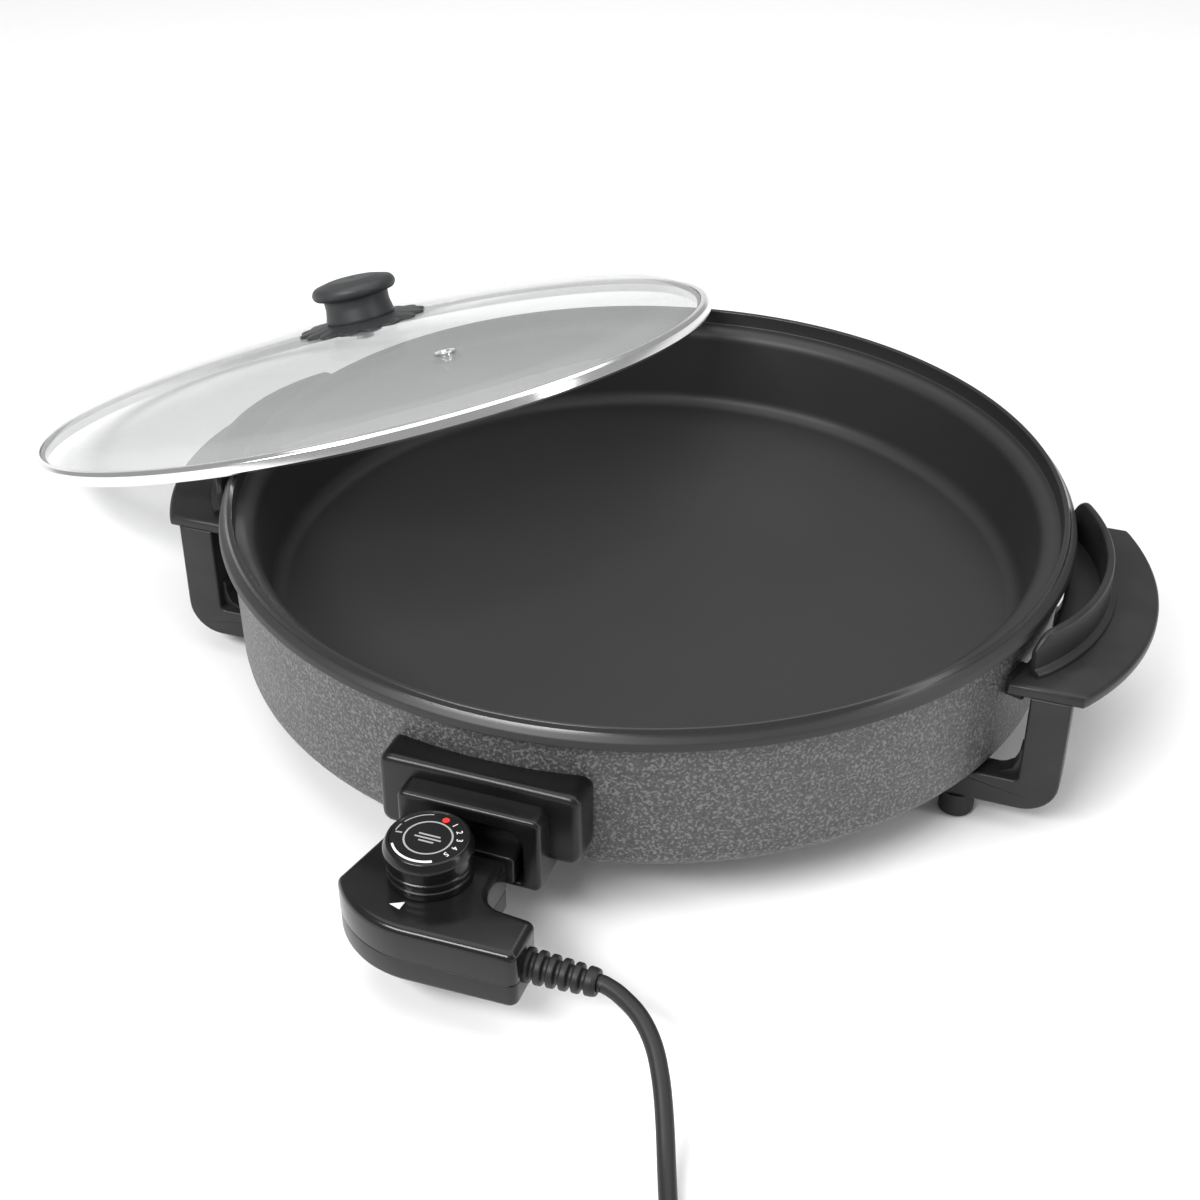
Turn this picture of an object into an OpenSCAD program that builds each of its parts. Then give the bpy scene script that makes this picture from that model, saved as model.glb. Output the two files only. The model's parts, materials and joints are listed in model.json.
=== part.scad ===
// Electric griddle: a round non-stick pan in a painted housing, carried by two handles on
// four legs, with a plug-in temperature control on a lead and a domed glass lid.
// Millimetres. Origin: on the pan's axis at table level. +Z up, -Y towards the control.

/* [Pan] */
// Radius of the rim's bright top edge
rim_r = 200; // [180:1:240]
// Height of the rim's bright top edge above the table
rim_z = 100; // [96:1:125]
// Depth of the cooking floor below the rim's edge
pan_depth = 50.4; // [40:0.2:51]
// Thickness of the pan's metal
pan_t = 3; // [2.5:0.1:3.4]
// Inside radius between the floor and the wall
floor_fillet = 8; // [5:0.5:12]

/* [Housing] */
// Height of the housing's underside above the table
shell_z = 27; // [25:0.5:28]
// Rounding of the housing's lower edge
shell_round = 8; // [5:0.5:9]
// Thickness of the housing's steel
shell_t = 1; // [0.8:0.1:1.2]

/* [Heater] */
// Radius of the heating ring's centre line
element_r = 140; // [115:1:150]
// Diameter of the heating tube
element_d = 8; // [6.5:0.1:8]
// Distance from the middle to each contact pin
pin_x = 12; // [10.5:0.5:14]
// Diameter of a contact pin
pin_d = 6; // [4:0.5:6]

/* [Handles and legs] */
// Reach of a handle beyond the rim's edge
handle_reach = 43.8; // [38:0.2:60]
// Width of a handle along the rim
handle_w = 148; // [140:1:170]
// Thickness of a handle's grip plate
grip_t = 6; // [4:0.5:8]
// Height of the upright finger guard above the grip plate
guard_h = 20; // [10:0.5:20]
// Thickness of the finger guard
guard_t = 4; // [3:0.5:5]
// Width of a leg, seen from the front
leg_w = 18; // [14:0.5:20]
// Thickness of a leg, front to back
leg_t = 14; // [10:0.5:16]
// Diameter of a rubber foot
foot_d = 16; // [12:0.5:18]
// Height of a rubber foot
foot_h = 12; // [9:0.5:13]

/* [Control socket] */
// Width of the socket's outer frame
frame_w = 88; // [84:1:100]
// Width of the socket's tunnel
tunnel_w = 62; // [60:1:70]
// How far the tunnel's mouth stands out beyond the rim's edge
tunnel_out = 21; // [16:0.5:22]
// How far the outer frame stands out beyond the rim's edge
frame_out = 10.5; // [7:0.5:12]
// Free gap between the control's nose and the tunnel's mouth, sideways
mouth_gap = 3; // [1:0.5:3.5]

/* [Control] */
// Width of the nose that goes into the socket
nose_w = 41; // [36:1:42]
// Height of the nose
nose_h = 13; // [11:0.5:13.5]
// Height of the control's body
control_h = 27; // [24:0.5:30]
// Wall thickness of the control's shells
control_t = 2.2; // [1.6:0.1:2.6]
// Diameter of the temperature probe
probe_d = 6; // [4.5:0.5:6]
// Length of the probe beyond the nose
probe_l = 62; // [50:1:66]
// Diameter of the dial
dial_d = 36.4; // [32:0.2:37]
// Height of the dial
dial_h = 18.5; // [14:0.5:24]
// Length of the lead's strain relief
relief_l = 28.5; // [24:0.5:34]

/* [Lead] */
// Diameter of the lead
cord_d = 7; // [6:0.1:7.4]
// Radius of the coil's inner turns
coil_in = 35; // [32:1:38]
// Diameter of the mains plug
plug_d = 38; // [34:1:40]

/* [Lid] */
// Height of the glass's top above the band's lower edge
dome_h = 32; // [31.5:0.5:40]
// Thickness of the glass
glass_t = 3.5; // [3:0.1:3.6]
// Height of the steel band
band_h = 7; // [6.5:0.5:9]
// Diameter of the knob's cap
knob_d = 49; // [42:1:56]
// Height of the knob above the glass
knob_h = 26; // [22:0.5:32]
// Diameter of the scalloped plate under the knob
plate_d = 73; // [64:1:80]
// Height of the leaning lid's middle above its lowest point
lid_mid = 64.6; // [60:0.2:67]
// Side on which the lid leans, in degrees from +X
lean_side = 149.5; // [135:0.5:160]

/* [Hidden] */
$fn = 96;
eps = 0.01;
floor_z = rim_z - pan_depth;
under_z = floor_z - pan_t;
ledge_z = rim_z - 5.4;
bead_r = rim_r - 1.4;
bead_z = rim_z + 2.4;
step_r = rim_r - 3.8;
wall_r = rim_r - 13;
floor_r = rim_r - 23.7 + 8 - floor_fillet;
shoulder_r = 7;
shell_top_z = ledge_z - pan_t;
shell_top_r = rim_r - 0.8;
shell_low_r = rim_r - 2.5;
lip_w = 13.5;
shell_lip_r = shell_low_r - shell_round - lip_w;
base_t = 1;
base_r = shell_low_r - shell_round - 1.5;
stud_r = 3;
pin_r = pin_d / 2;
pin_z = floor_z - 5.6;
probe_z = floor_z - 8.6;
probe_r = probe_d / 2;
running = 0.08;
loose = 0.4;
screw_r = 2;
handle_side_r = 135.5;
handle_cx = rim_r + handle_reach - handle_side_r;
grip_top_z = rim_z - 22.5;
grip_z = grip_top_z - grip_t;
guard_r = 103.5;
guard_cx = rim_r + 21.5 - guard_r;
guard_half = 65;
lug_a = 17.5;
lug_w = 15;
leg_front = handle_w / 2 + 0.5;
leg_x = rim_r - 1;
leg_in_x = rim_r - 35;
leg_round = 16;
foot_x = rim_r - 27;
foot_y = leg_front - leg_t / 2;
socket_z = floor_z - 0.1;
tunnel_top_z = socket_z + 20;
tunnel_low_z = socket_z - 16;
frame_top_z = socket_z + 27.5;
frame_low_z = socket_z - 7.5;
mouth_w = nose_w + 2 * mouth_gap;
mouth_low_z = tunnel_low_z + 3;
mouth_h = 26;
mouth_round = 8;
carrier_y = -(rim_r - 14);
tunnel_y = -(rim_r + tunnel_out);
frame_y = -(rim_r + frame_out);
nose_z = mouth_low_z + 0.5;
nose_end_y = -(rim_r - 3);
face_z = nose_z + nose_h;
control_low_z = face_z - control_h;
seam_z = face_z - 15.5;
back_y = tunnel_y - 2.5;
dial_x = -7.5;
dial_y = back_y - 17.7;
shaft_r = 3;
relief_x = 42;
relief_y = back_y - 37.5;
relief_z = seam_z + 0.3;
cord_r = cord_d / 2;
coil_out = coil_in + cord_d;
coil_c = [107.6, relief_y - 144.5];
plug_axis_y = coil_c[1] - coil_out;
plug_axis_z = plug_d / 2 + 0.2;
plug_neck_x = 64;
plug_tilt = atan((plug_axis_z - 1.5 * cord_d) / (coil_c[0] - plug_neck_x));
band_r = step_r - 0.7;
glass_r = band_r - 3;
glass_edge_z = 5;
shoulder_in = 14.5;
shoulder_top = 14.5;
lid_gap = 2;
lid_rest = 0.4;
lid_hole_r = 3;
vent_at = [-122, 25];
vent_r = 4;
lean = asin(lid_mid / band_r);
lean_cos = 1 - (bead_z + lid_gap - lid_rest) / lid_mid;
lean_sin = sqrt(1 - lean_cos * lean_cos);
lid_out = sqrt(bead_r * bead_r - pow(band_r * lean_sin, 2)) - band_r * lean_cos * cos(lean);
lid_at = [lid_out * cos(lean_side), lid_out * sin(lean_side), lid_rest + lid_mid];

// The lead's centre line, from the strain relief down to the table and on to the coil
route = [
  [relief_x + relief_l, relief_y, relief_z],
  [relief_x + relief_l + 2.5, relief_y, relief_z],
  [80, relief_y - 2.5, relief_z - 0.6],
  [90, relief_y - 8.5, relief_z - 2.5],
  [98.5, relief_y - 17, relief_z - 6.5],
  [105, relief_y - 27.5, relief_z - 12.5],
  [110.5, relief_y - 39.5, relief_z - 19.5],
  [115.6, relief_y - 52.5, relief_z - 26],
  [120.8, relief_y - 66, cord_r + 2],
  [126.3, relief_y - 80, cord_r + 0.4],
  [132.6, relief_y - 96, cord_r + 0.1],
  [139.6, relief_y - 112.5, cord_r + 0.1],
  [146.6, coil_c[1] + 15.5, cord_r + 0.1]
];

// ---- helpers ----

function arc(cx, cy, r, a0, a1, n = 8) =
  [for (i = [0 : n]) let (a = a0 + (a1 - a0) * i / n) [cx + r * cos(a), cy + r * sin(a)]];

// A round bar between two points
module bar(a, b, r) {
  d = b - a;
  long = norm(d);
  translate(a)
    rotate([0, acos(d[2] / long), atan2(d[1], d[0])])
      cylinder(r = r, h = long, $fn = 48);
}

module box(lo, hi) {
  translate(lo)
    cube(hi - lo);
}

// Along -Y from a point
module bar_y(x, y0, y1, z, r) {
  bar([x, y0, z], [x, y1, z], r);
}

module sides() {
  for (s = [1, -1])
    children_at(s)
      children();
}

module children_at(s) {
  mirror([s < 0 ? 1 : 0, 0, 0])
    children();
}

// ---- pan and housing ----

// Everything inside the housing's outer face, used to trim what touches it
module shell_solid() {
  rotate_extrude($fn = 180)
    polygon(concat(
      [[0, shell_z], [shell_low_r - shell_round, shell_z]],
      arc(shell_low_r - shell_round, shell_z + shell_round, shell_round, -90, 0),
      [[shell_top_r, shell_top_z], [0, shell_top_z]]
    ));
}

module shell_cavity() {
  inner = shell_round - shell_t;
  rotate_extrude($fn = 180)
    polygon(concat(
      [[0, shell_z + shell_t], [shell_low_r - shell_round, shell_z + shell_t]],
      arc(shell_low_r - shell_round, shell_z + shell_round, inner, -90, 0),
      [[shell_top_r - shell_t, shell_top_z], [0, shell_top_z]]
    ));
}

module pan() {
  fillet_z = floor_z + floor_fillet;
  shoulder_x = wall_r + shoulder_r;
  shoulder_z = ledge_z - shoulder_r;
  color([0.13, 0.13, 0.14])
    rotate_extrude($fn = 180)
      polygon(concat(
        [[0, under_z], [0, floor_z]],
        arc(floor_r, fillet_z, floor_fillet, -90, 0),
        [[wall_r, shoulder_z]],
        arc(shoulder_x, shoulder_z, shoulder_r, 180, 90),
        [
          [step_r, ledge_z],
          [step_r + 0.4, bead_z - 1.2],
          [step_r + 1.2, bead_z - 0.3],
          [bead_r, bead_z],
          [bead_r + 0.9, bead_z - 0.8],
          [rim_r, rim_z],
          [rim_r + 1.7, rim_z - 1.6],
          [rim_r + 3.1, rim_z - 3.5],
          [rim_r + 3.8, rim_z - 5.1],
          [rim_r + 3.6, rim_z - 6],
          [rim_r + 2.8, rim_z - 6.2],
          [rim_r + 2, rim_z - 5.6],
          [rim_r + 0.8, rim_z - 3.6],
          [rim_r - 0.2, rim_z - 2.8],
          [rim_r - 0.2, shell_top_z],
          [wall_r + pan_t, shell_top_z],
          [wall_r + pan_t, shoulder_z]
        ],
        arc(floor_r, fillet_z, floor_fillet + pan_t, 0, -90)
      ));
}

// The pan's outer face below the rim, used to trim what stands against it
module pan_solid() {
  fillet_z = floor_z + floor_fillet;
  rotate_extrude($fn = 180)
    polygon(concat(
      [[0, under_z]],
      arc(floor_r, fillet_z, floor_fillet + pan_t, -90, 0),
      [[wall_r + pan_t, ledge_z - shoulder_r], [0, ledge_z - shoulder_r]]
    ));
}

module wall_screw_holes() {
  for (s = [0, 180], a = [-lug_a, lug_a])
    rotate([0, 0, s + a])
      bar([rim_r - 8, 0, grip_z + 1], [rim_r + 4, 0, grip_z + 1], screw_r + 0.2);
}

module leg_screw_holes(r) {
  for (sx = [1, -1], sy = [1, -1])
    translate([sx * foot_x, sy * foot_y, shell_z - 4])
      cylinder(r = r, h = 10, $fn = 36);
}

module body_shell() {
  color([0.36, 0.36, 0.37])
    difference() {
      shell_solid();
      shell_cavity();
      translate([0, 0, shell_z - 1])
        cylinder(r = shell_lip_r, h = 3, $fn = 180);
      box([-mouth_w / 2, -rim_r - 5, mouth_low_z], [mouth_w / 2, -rim_r + 15, mouth_low_z + mouth_h]);
      wall_screw_holes();
      leg_screw_holes(2.6);
      for (s = [1, -1])
        bar_y(s * socket_screw_x(), -rim_r - 5, -rim_r + 15, socket_z, 1.85);
    }
}

function socket_screw_x() = (mouth_w + tunnel_w) / 4;

module base_plate() {
  color([0.55, 0.55, 0.56])
    difference() {
      translate([0, 0, shell_z + shell_t])
        cylinder(r = base_r, h = base_t, $fn = 180);
      translate([0, 0, shell_z - 1])
        cylinder(r = stud_r, h = 5, $fn = 48);
      leg_screw_holes(2.6);
    }
}

module pan_stud() {
  color([0.7, 0.7, 0.7])
    translate([0, 0, shell_z - 5])
      cylinder(r = stud_r, h = under_z - shell_z + 5, $fn = 48);
}

module tube(r_in, r_out, z0, z1) {
  difference() {
    translate([0, 0, z0])
      cylinder(r = r_out, h = z1 - z0, $fn = 48);
    translate([0, 0, z0 - 1])
      cylinder(r = r_in, h = z1 - z0 + 2, $fn = 48);
  }
}

module base_spacer() {
  color([0.7, 0.7, 0.7])
    tube(stud_r, 7, shell_z + shell_t + base_t, under_z);
}

module base_washer() {
  color([0.75, 0.75, 0.75])
    tube(stud_r, 9, shell_z - 0.2, shell_z + shell_t);
}

module base_nut() {
  color([0.7, 0.7, 0.7])
    difference() {
      translate([0, 0, shell_z - 4.2])
        cylinder(r = 5.8, h = 4, $fn = 6);
      translate([0, 0, shell_z - 6])
        cylinder(r = stud_r, h = 8, $fn = 48);
    }
}

// ---- heater ----

element_z = under_z - element_d / 2;
element_gap = 12;
lead_r = element_d / 2 - 1.7;
pin_back_y = carrier_y + 12;

module heating_element() {
  ring_end = [element_r * sin(element_gap), -element_r * cos(element_gap), element_z];
  color([0.4, 0.4, 0.41]) {
    rotate([0, 0, element_gap - 90])
      translate([0, 0, element_z])
        rotate_extrude(angle = 360 - 2 * element_gap, $fn = 96)
          translate([element_r, 0])
            circle(d = element_d, $fn = 24);
    sides() {
      bar(ring_end, [pin_x, pin_back_y, pin_z], lead_r);
      translate([pin_x, pin_back_y, pin_z])
        sphere(r = lead_r + 0.25, $fn = 24);
      bar_y(pin_x, pin_back_y, carrier_y + 4, pin_z, lead_r - 0.2);
    }
  }
}

module contact_pins() {
  color([0.78, 0.72, 0.5])
    sides()
      union() {
        bar_y(pin_x, carrier_y + 4, carrier_y - 24, pin_z, pin_r);
        translate([pin_x, carrier_y - 24, pin_z])
          sphere(r = pin_r, $fn = 36);
      }
}

module sensor_sleeve() {
  color([0.7, 0.7, 0.71])
    difference() {
      union() {
        bar_y(0, carrier_y + 2, -rim_r + 78, probe_z, probe_r + 1.6);
        box([-6, -rim_r + 30, probe_z], [6, -rim_r + 76, under_z]);
      }
      bar_y(0, carrier_y - 1, -rim_r + 80, probe_z, probe_r + loose);
    }
}

module pin_carrier() {
  color([0.8, 0.78, 0.72])
    difference() {
      intersection() {
        box([-tunnel_w / 2, -rim_r, tunnel_low_z], [tunnel_w / 2, carrier_y, mouth_low_z + mouth_h + 2]);
        shell_cavity();
      }
      pan_solid();
      box([-mouth_w / 2, -rim_r - 1, mouth_low_z], [mouth_w / 2, carrier_y - 3, mouth_low_z + mouth_h]);
      sides()
        bar_y(pin_x, carrier_y - 5, carrier_y + 2, pin_z, pin_r);
      bar_y(0, carrier_y - 5, carrier_y + 2, probe_z, probe_r + loose);
      sides()
        bar_y(socket_screw_x(), -rim_r - 1, carrier_y + 2, socket_z, 1.75);
    }
}

// ---- socket ----

module rounded(w, low, high, r) {
  translate([-w / 2 + r, low])
    square([w - 2 * r, high - low]);
  translate([-w / 2, low + r])
    square([w, high - low - 2 * r]);
  for (x = [-w / 2 + r, w / 2 - r], y = [low + r, high - r])
    translate([x, y])
      circle(r = r, $fn = 40);
}

module arch(w, low, high, r) {
  translate([-w / 2, low])
    square([w, high - low - r]);
  translate([-w / 2 + r, low])
    square([w - 2 * r, high - low]);
  for (x = [-w / 2 + r, w / 2 - r])
    translate([x, high - r])
      circle(r = r, $fn = 48);
}

// A flat outline in X and Z, pushed from y0 back to y1
module push_y(y0, y1) {
  translate([0, y1, 0])
    rotate([90, 0, 0])
      linear_extrude(y1 - y0)
        children();
}

module socket_shroud() {
  color([0.08, 0.08, 0.09])
    difference() {
      union() {
        push_y(frame_y, -rim_r + 25)
          rounded(frame_w, frame_low_z, frame_top_z, 5);
        push_y(tunnel_y, -rim_r + 25)
          rounded(tunnel_w, tunnel_low_z, tunnel_top_z, 3);
      }
      shell_solid();
      push_y(tunnel_y - 1, -rim_r + 30)
        arch(mouth_w, mouth_low_z, mouth_low_z + mouth_h, mouth_round);
      sides()
        bar_y(socket_screw_x(), tunnel_y + 8, -rim_r + 30, socket_z, 1.75);
    }
}

module socket_screws() {
  color([0.7, 0.7, 0.7])
    sides()
      union() {
        bar_y(socket_screw_x(), carrier_y, tunnel_y + 8, socket_z, 1.75);
        bar_y(socket_screw_x(), carrier_y + 1.5, carrier_y, socket_z, 2.8);
      }
}

// ---- handles and legs ----

// A grip plate's outline from above, clear of the housing
function grip_outline() =
  let (
    half = handle_w / 2,
    inner = rim_r + 1,
    a_out = asin(half / handle_side_r),
    a_in = asin(half / inner)
  )
    concat(arc(handle_cx, 0, handle_side_r, -a_out, a_out, 40), arc(0, 0, inner, a_in, -a_in, 30));

module handle() {
  color([0.1, 0.1, 0.1])
    difference() {
      union() {
        translate([0, 0, grip_z])
          linear_extrude(grip_t)
            polygon(grip_outline());
        difference() {
          for (a = [-lug_a, lug_a])
            rotate([0, 0, a])
              box([rim_r - 8, -lug_w / 2, grip_z - 5], [rim_r + 8, lug_w / 2, grip_top_z - 1]);
          shell_solid();
        }
        guard();
      }
      for (a = [-lug_a, lug_a])
        rotate([0, 0, a])
          bar([rim_r - 8, 0, grip_z + 1], [rim_r + 6, 0, grip_z + 1], screw_r);
      for (sy = [1, -1])
        translate([leg_x + leg_w / 2, sy * foot_y, grip_z - 1])
          cylinder(r = 3.5, h = 4, $fn = 36);
    }
}

// The upright finger guard, with a low step along its foot
module guard() {
  inner = guard_r - guard_t;
  low = grip_top_z - 1;
  top = grip_top_z + guard_h;
  half_a = asin(guard_half / guard_r);
  translate([guard_cx, 0, 0])
    rotate([0, 0, -half_a])
      rotate_extrude(angle = 2 * half_a, $fn = 180)
        polygon([
          [inner, low], [guard_r + 3, low], [guard_r + 3, low + 3], [guard_r, low + 4], [guard_r, top - 0.8],
          [guard_r - 0.8, top], [inner + 0.8, top], [inner, top - 0.8]
        ]);
}

module handle_right() {
  handle();
}

module handle_left() {
  mirror([1, 0, 0])
    handle();
}

module handle_screws() {
  color([0.7, 0.7, 0.7])
    for (s = [0, 180], a = [-lug_a, lug_a])
      rotate([0, 0, s + a])
        difference() {
          union() {
            bar([rim_r - 4, 0, grip_z + 1], [rim_r + 6, 0, grip_z + 1], screw_r);
            bar([rim_r - 5.2, 0, grip_z + 1], [rim_r - 2.4, 0, grip_z + 1], 3.8);
          }
          difference() {
            cylinder(r = rim_r - 1, h = rim_z);
            shell_cavity();
            bar([rim_r - 8, 0, grip_z + 1], [rim_r + 6, 0, grip_z + 1], screw_r + 0.01);
          }
        }
}

// One L-shaped leg, drawn for the corner at +X and +Y
module leg() {
  top = grip_z;
  low = foot_h;
  outer = leg_x + leg_w;
  color([0.1, 0.1, 0.1])
    difference() {
      union() {
        push_y(leg_front - leg_t, leg_front)
          difference() {
            union() {
              translate([leg_x, low])
                square([leg_w, top - low]);
              translate([leg_in_x, low])
                square([outer - leg_in_x, shell_z - low]);
            }
            translate([outer - leg_round, low - 1])
              square([leg_round + 1, leg_round + 1]);
          }
        push_y(leg_front - leg_t, leg_front)
          intersection() {
            translate([outer - leg_round, low + leg_round])
              circle(r = leg_round, $fn = 72);
            translate([outer - leg_round, low])
              square([leg_round, leg_round]);
          }
        difference() {
          box([rim_r - 15, leg_front - leg_t, shell_z - 1], [leg_x + 1, leg_front - 5, shell_z + 14]);
          shell_solid();
        }
        translate([leg_x + leg_w / 2, foot_y, top - 1])
          cylinder(r = 3.5, h = 4, $fn = 36);
      }
      translate([foot_x, foot_y, low - 1])
        cylinder(r = 3.5, h = 7, $fn = 36);
      translate([foot_x, foot_y, low])
        cylinder(r = 2.5, h = shell_z, $fn = 36);
    }
}

module leg_back_right() {
  leg();
}

module leg_back_left() {
  mirror([1, 0, 0])
    leg();
}

module leg_front_right() {
  mirror([0, 1, 0])
    leg();
}

module leg_front_left() {
  rotate([0, 0, 180])
    leg();
}

module leg_screws() {
  color([0.7, 0.7, 0.7])
    for (sx = [1, -1], sy = [1, -1])
      translate([sx * foot_x, sy * foot_y, 0]) {
        translate([0, 0, foot_h + 6])
          cylinder(r = 2.5, h = shell_z + shell_t + base_t - foot_h - 6, $fn = 36);
        translate([0, 0, shell_z + shell_t + base_t])
          cylinder(r = 4, h = 2.5, $fn = 36);
      }
}

module rubber_feet() {
  color([0.06, 0.06, 0.06])
    for (sx = [1, -1], sy = [1, -1])
      translate([sx * foot_x, sy * foot_y, 0]) {
        cylinder(d = foot_d, h = foot_h, $fn = 48);
        translate([0, 0, foot_h])
          cylinder(r = 3.5, h = 5.5, $fn = 36);
      }
}

// ---- control ----

// The control's outline from above, drawn e inside its outer face
function control_outline(e) = concat(
  [[17.5 - e, back_y - e]],
  arc(27.5, back_y - 17, 10 + e, 180, 270),
  arc(relief_x - 4, back_y - 32, 4 - e, 90, 0),
  arc(relief_x - 4, back_y - 47, 4 - e, 0, -90),
  arc(-5, back_y - 9, 43 - e, 270, 214, 16),
  arc(-37.5, back_y - 31.5, 4 - e, 214, 157),
  arc(-31.5, back_y - 4, 4 - e, 178, 90)
);

module control_prism(e, z0, z1) {
  translate([0, 0, z0])
    linear_extrude(z1 - z0)
      polygon(control_outline(e));
}

module control_top() {
  t = control_t;
  color([0.06, 0.06, 0.07])
    difference() {
      union() {
        control_prism(0, seam_z, face_z);
        box([-nose_w / 2, back_y - 3, nose_z], [17.5, nose_end_y, face_z]);
        box([17, back_y + 1, nose_z], [nose_w / 2, nose_end_y, face_z]);
      }
      control_prism(t, seam_z - 1, face_z - t);
      box([-nose_w / 2 + t, back_y - 6, nose_z + t], [17.5 - t, nose_end_y - 14, face_z - t]);
      sides()
        bar_y(pin_x, nose_end_y - 19, nose_end_y + 1, pin_z, pin_r + 1.2);
      bar_y(0, nose_end_y - 19, nose_end_y + 1, probe_z, probe_r);
      translate([dial_x, dial_y, face_z - 5])
        cylinder(r = shaft_r + running, h = 6, $fn = 48);
      relief_hole();
    }
}

module relief_hole() {
  bar([relief_x - 6, relief_y, relief_z], [relief_x + 1, relief_y, relief_z], 5);
}

// Screw posts of the control: places on its plan
posts = [[33, back_y - 36.5], [-27, back_y - 8], [-30, back_y - 31]];

module control_bottom() {
  t = control_t;
  color([0.07, 0.07, 0.08])
    difference() {
      union() {
        difference() {
          control_prism(0, control_low_z, seam_z);
          control_prism(t, control_low_z + t, seam_z + 1);
        }
        for (p = posts)
          translate([p[0], p[1], control_low_z])
            cylinder(r = 3, h = seam_z - control_low_z + 8, $fn = 36);
      }
      for (p = posts)
        translate([p[0], p[1], control_low_z - 1]) {
          cylinder(r = 1.5, h = seam_z - control_low_z + 10, $fn = 36);
          cylinder(r = 2.6, h = 4, $fn = 36);
        }
      relief_hole();
    }
}

module control_screws() {
  color([0.7, 0.7, 0.7])
    for (p = posts)
      translate([p[0], p[1], control_low_z]) {
        translate([0, 0, 3])
          cylinder(r = 1.5, h = seam_z - control_low_z + 3, $fn = 36);
        translate([0, 0, 1])
          cylinder(r = 2.6, h = 2, $fn = 36);
      }
}

module probe() {
  color([0.72, 0.72, 0.72]) {
    bar_y(0, nose_end_y + probe_l, nose_end_y - 18, probe_z, probe_r);
    translate([0, nose_end_y + probe_l, probe_z])
      sphere(r = probe_r, $fn = 36);
  }
}

module contact_sleeves() {
  color([0.78, 0.72, 0.5])
    sides()
      difference() {
        bar_y(pin_x, nose_end_y - 0.5, nose_end_y - 17, pin_z, pin_r + 1.2);
        bar_y(pin_x, nose_end_y + 1, nose_end_y - 18, pin_z, pin_r + running);
      }
}

module thermostat() {
  color([0.75, 0.73, 0.68])
    difference() {
      box([dial_x - 9, dial_y - 12, control_low_z + control_t], [dial_x + 9, dial_y + 8, face_z - 8]);
      translate([dial_x, dial_y, face_z - 12])
        cylinder(r = shaft_r + running, h = 6, $fn = 48);
    }
}

module pilot_lamp() {
  color([0.85, 0.35, 0.15])
    bar([-31, back_y - 15, face_z - 6], [-31, back_y - 26, face_z - 6], 2.5);
}

module cord_clamp() {
  color([0.1, 0.1, 0.1])
    difference() {
      box([22, relief_y - 7.5, control_low_z + control_t], [28, relief_y + 5.5, relief_z + 7]);
      bar([20, relief_y, relief_z], [30, relief_y, relief_z], cord_r);
    }
}

module strain_relief() {
  ribs = 6;
  pitch = (relief_l - 3) / ribs;
  color([0.07, 0.07, 0.07])
    translate([0, relief_y, relief_z])
      rotate([0, 90, 0])
        difference() {
          union() {
            translate([0, 0, relief_x])
              cylinder(r1 = 7.2, r2 = 5.4, h = relief_l);
            translate([0, 0, relief_x - 6])
              cylinder(r = 5, h = 6, $fn = 48);
            translate([0, 0, relief_x - control_t - 1.8])
              cylinder(r = 7, h = 1.8, $fn = 48);
          }
          for (i = [0 : ribs - 1])
            translate([0, 0, relief_x + 3.2 + i * pitch])
              tube(5.2 - 0.12 * i, 9, 0, 1.8);
        }
}

function unit(v) = v / norm(v);
function cross3(a, b) = [
  a[1] * b[2] - a[2] * b[1],
  a[2] * b[0] - a[0] * b[2],
  a[0] * b[1] - a[1] * b[0]
];

module sweep(path, r, n) {
  last = len(path) - 1;
  ring = [
    for (i = [0 : last])
      let (
        dir = unit(path[min(i + 1, last)] - path[max(i - 1, 0)]),
        side = unit(cross3([0, 0, 1], dir)),
        up = cross3(dir, side)
      )
        for (k = [0 : n - 1])
          path[i] + r * (cos(360 * k / n) * side + sin(360 * k / n) * up)
  ];
  walls = [
    for (i = [0 : last - 1], k = [0 : n - 1])
      let (a = i * n + k, b = i * n + (k + 1) % n)
        [a, a + n, b + n, b]
  ];
  first_cap = [for (k = [0 : n - 1]) k];
  last_cap = [for (k = [0 : n - 1]) last * n + n - 1 - k];
  polyhedron(points = ring, faces = concat(walls, [first_cap], [last_cap]));
}

module cord() {
  color([0.08, 0.08, 0.08])
    sweep(route, cord_r, 12);
}

module cord_coil() {
  color([0.08, 0.08, 0.08])
    translate([coil_c[0], coil_c[1], 0])
      rotate_extrude($fn = 72)
        translate([coil_in - cord_r, 0.1])
          square([2 * cord_d, 2 * cord_d]);
}

module plug_lead() {
  color([0.08, 0.08, 0.08])
    bar(
      [coil_c[0], plug_axis_y, 1.5 * cord_d],
      [plug_neck_x + cord_r * sin(plug_tilt) + eps, plug_axis_y, plug_axis_z],
      cord_r
    );
}

module plug_body() {
  r = plug_d / 2;
  color([0.08, 0.08, 0.08])
    translate([plug_neck_x, plug_axis_y, plug_axis_z])
      rotate([0, -90, 0])
        rotate_extrude($fn = 72)
          polygon([[0, 0], [5, 0], [7.5, 18], [11, 21], [r - 2, 30], [r, 36], [r, 54], [r - 2, 54], [0, 54]]);
}

module plug_pins() {
  front = plug_neck_x - 54;
  color([0.8, 0.78, 0.7])
    for (s = [1, -1])
      bar([front, plug_axis_y + s * 9.5, plug_axis_z], [front - 19, plug_axis_y + s * 9.5, plug_axis_z], 2.4);
}

// ---- dial ----

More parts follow.
